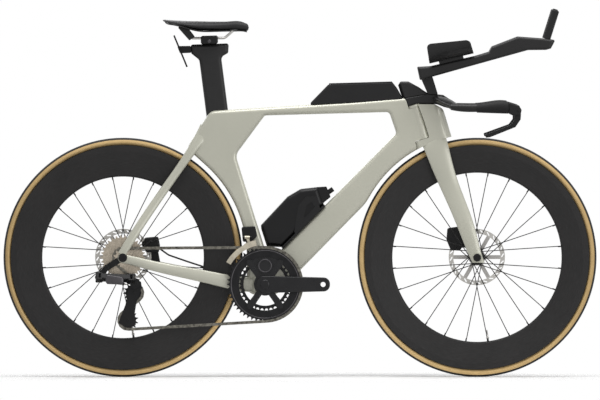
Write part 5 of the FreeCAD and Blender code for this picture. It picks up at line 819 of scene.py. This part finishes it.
def makeWorld():  # soft grey light for the object, plain white to the camera and in reflections
    world = bpy.data.worlds.new("studio")
    scene.world = world
    world.use_nodes = True
    tree = world.node_tree
    tree.nodes.clear()
    path = tree.nodes.new("ShaderNodeLightPath")
    seen = math2(tree, "MAXIMUM", path.outputs["Is Camera Ray"], path.outputs["Is Transmission Ray"])
    seen = math2(tree, "MAXIMUM", seen, path.outputs["Is Glossy Ray"])
    light = tree.nodes.new("ShaderNodeBackground")
    light.inputs["Strength"].default_value = stageLook["world"]
    white = tree.nodes.new("ShaderNodeBackground")
    for background in (light, white):
        background.inputs["Color"].default_value = (1, 1, 1, 1)
    mix = tree.nodes.new("ShaderNodeMixShader")
    tree.links.new(seen, mix.inputs[0])
    tree.links.new(light.outputs[0], mix.inputs[1])
    tree.links.new(white.outputs[0], mix.inputs[2])
    tree.links.new(mix.outputs[0], tree.nodes.new("ShaderNodeOutputWorld").inputs[0])


def makeLamp(name, place, aim, power, width, height):
    lamp = bpy.data.lights.new(name, "AREA")
    lamp.shape = "RECTANGLE"
    lamp.size, lamp.size_y = width, height
    lamp.energy = power
    piece = bpy.data.objects.new(name, lamp)
    piece.location = place
    piece.rotation_euler = (Vector(aim) - Vector(place)).to_track_quat("-Z", "Y").to_euler()
    scene.collection.objects.link(piece)


lampLooks = {  # place, aim, power, width, height
    "topBox": ((0.2, -0.5, 3.0), (0.0, 0.0, 0.4), 82.0, 3.0, 1.6),
    "frontBox": ((2.5, -2.6, 0.8), (0.2, 0.0, 0.5), 30.0, 2.2, 1.6),
    "rearBox": ((-1.4, 3.5, 2.3), (0.0, 0.0, 0.5), 30.0, 2.6, 1.6),
}
cameraLook = {"place": (0.0, -45.0, 1.13), "aim": (0.0, 0.0, 0.503), "sensor": 36.0,
              "metresAcross": 600 * 0.002844}


def makeCamera():
    place, aim = Vector(cameraLook["place"]), Vector(cameraLook["aim"])
    camera = bpy.data.cameras.new("photoView")
    camera.sensor_width = cameraLook["sensor"]
    camera.lens = cameraLook["sensor"] * (aim - place).length / cameraLook["metresAcross"]
    piece = bpy.data.objects.new("photoView", camera)
    piece.location = place
    piece.rotation_euler = (aim - place).to_track_quat("-Z", "Y").to_euler()
    scene.collection.objects.link(piece)
    scene.camera = piece


makeStage()
makeWorld()
for name, row in lampLooks.items():
    makeLamp(name, *row)
makeCamera()
print("stage, lamps and camera")
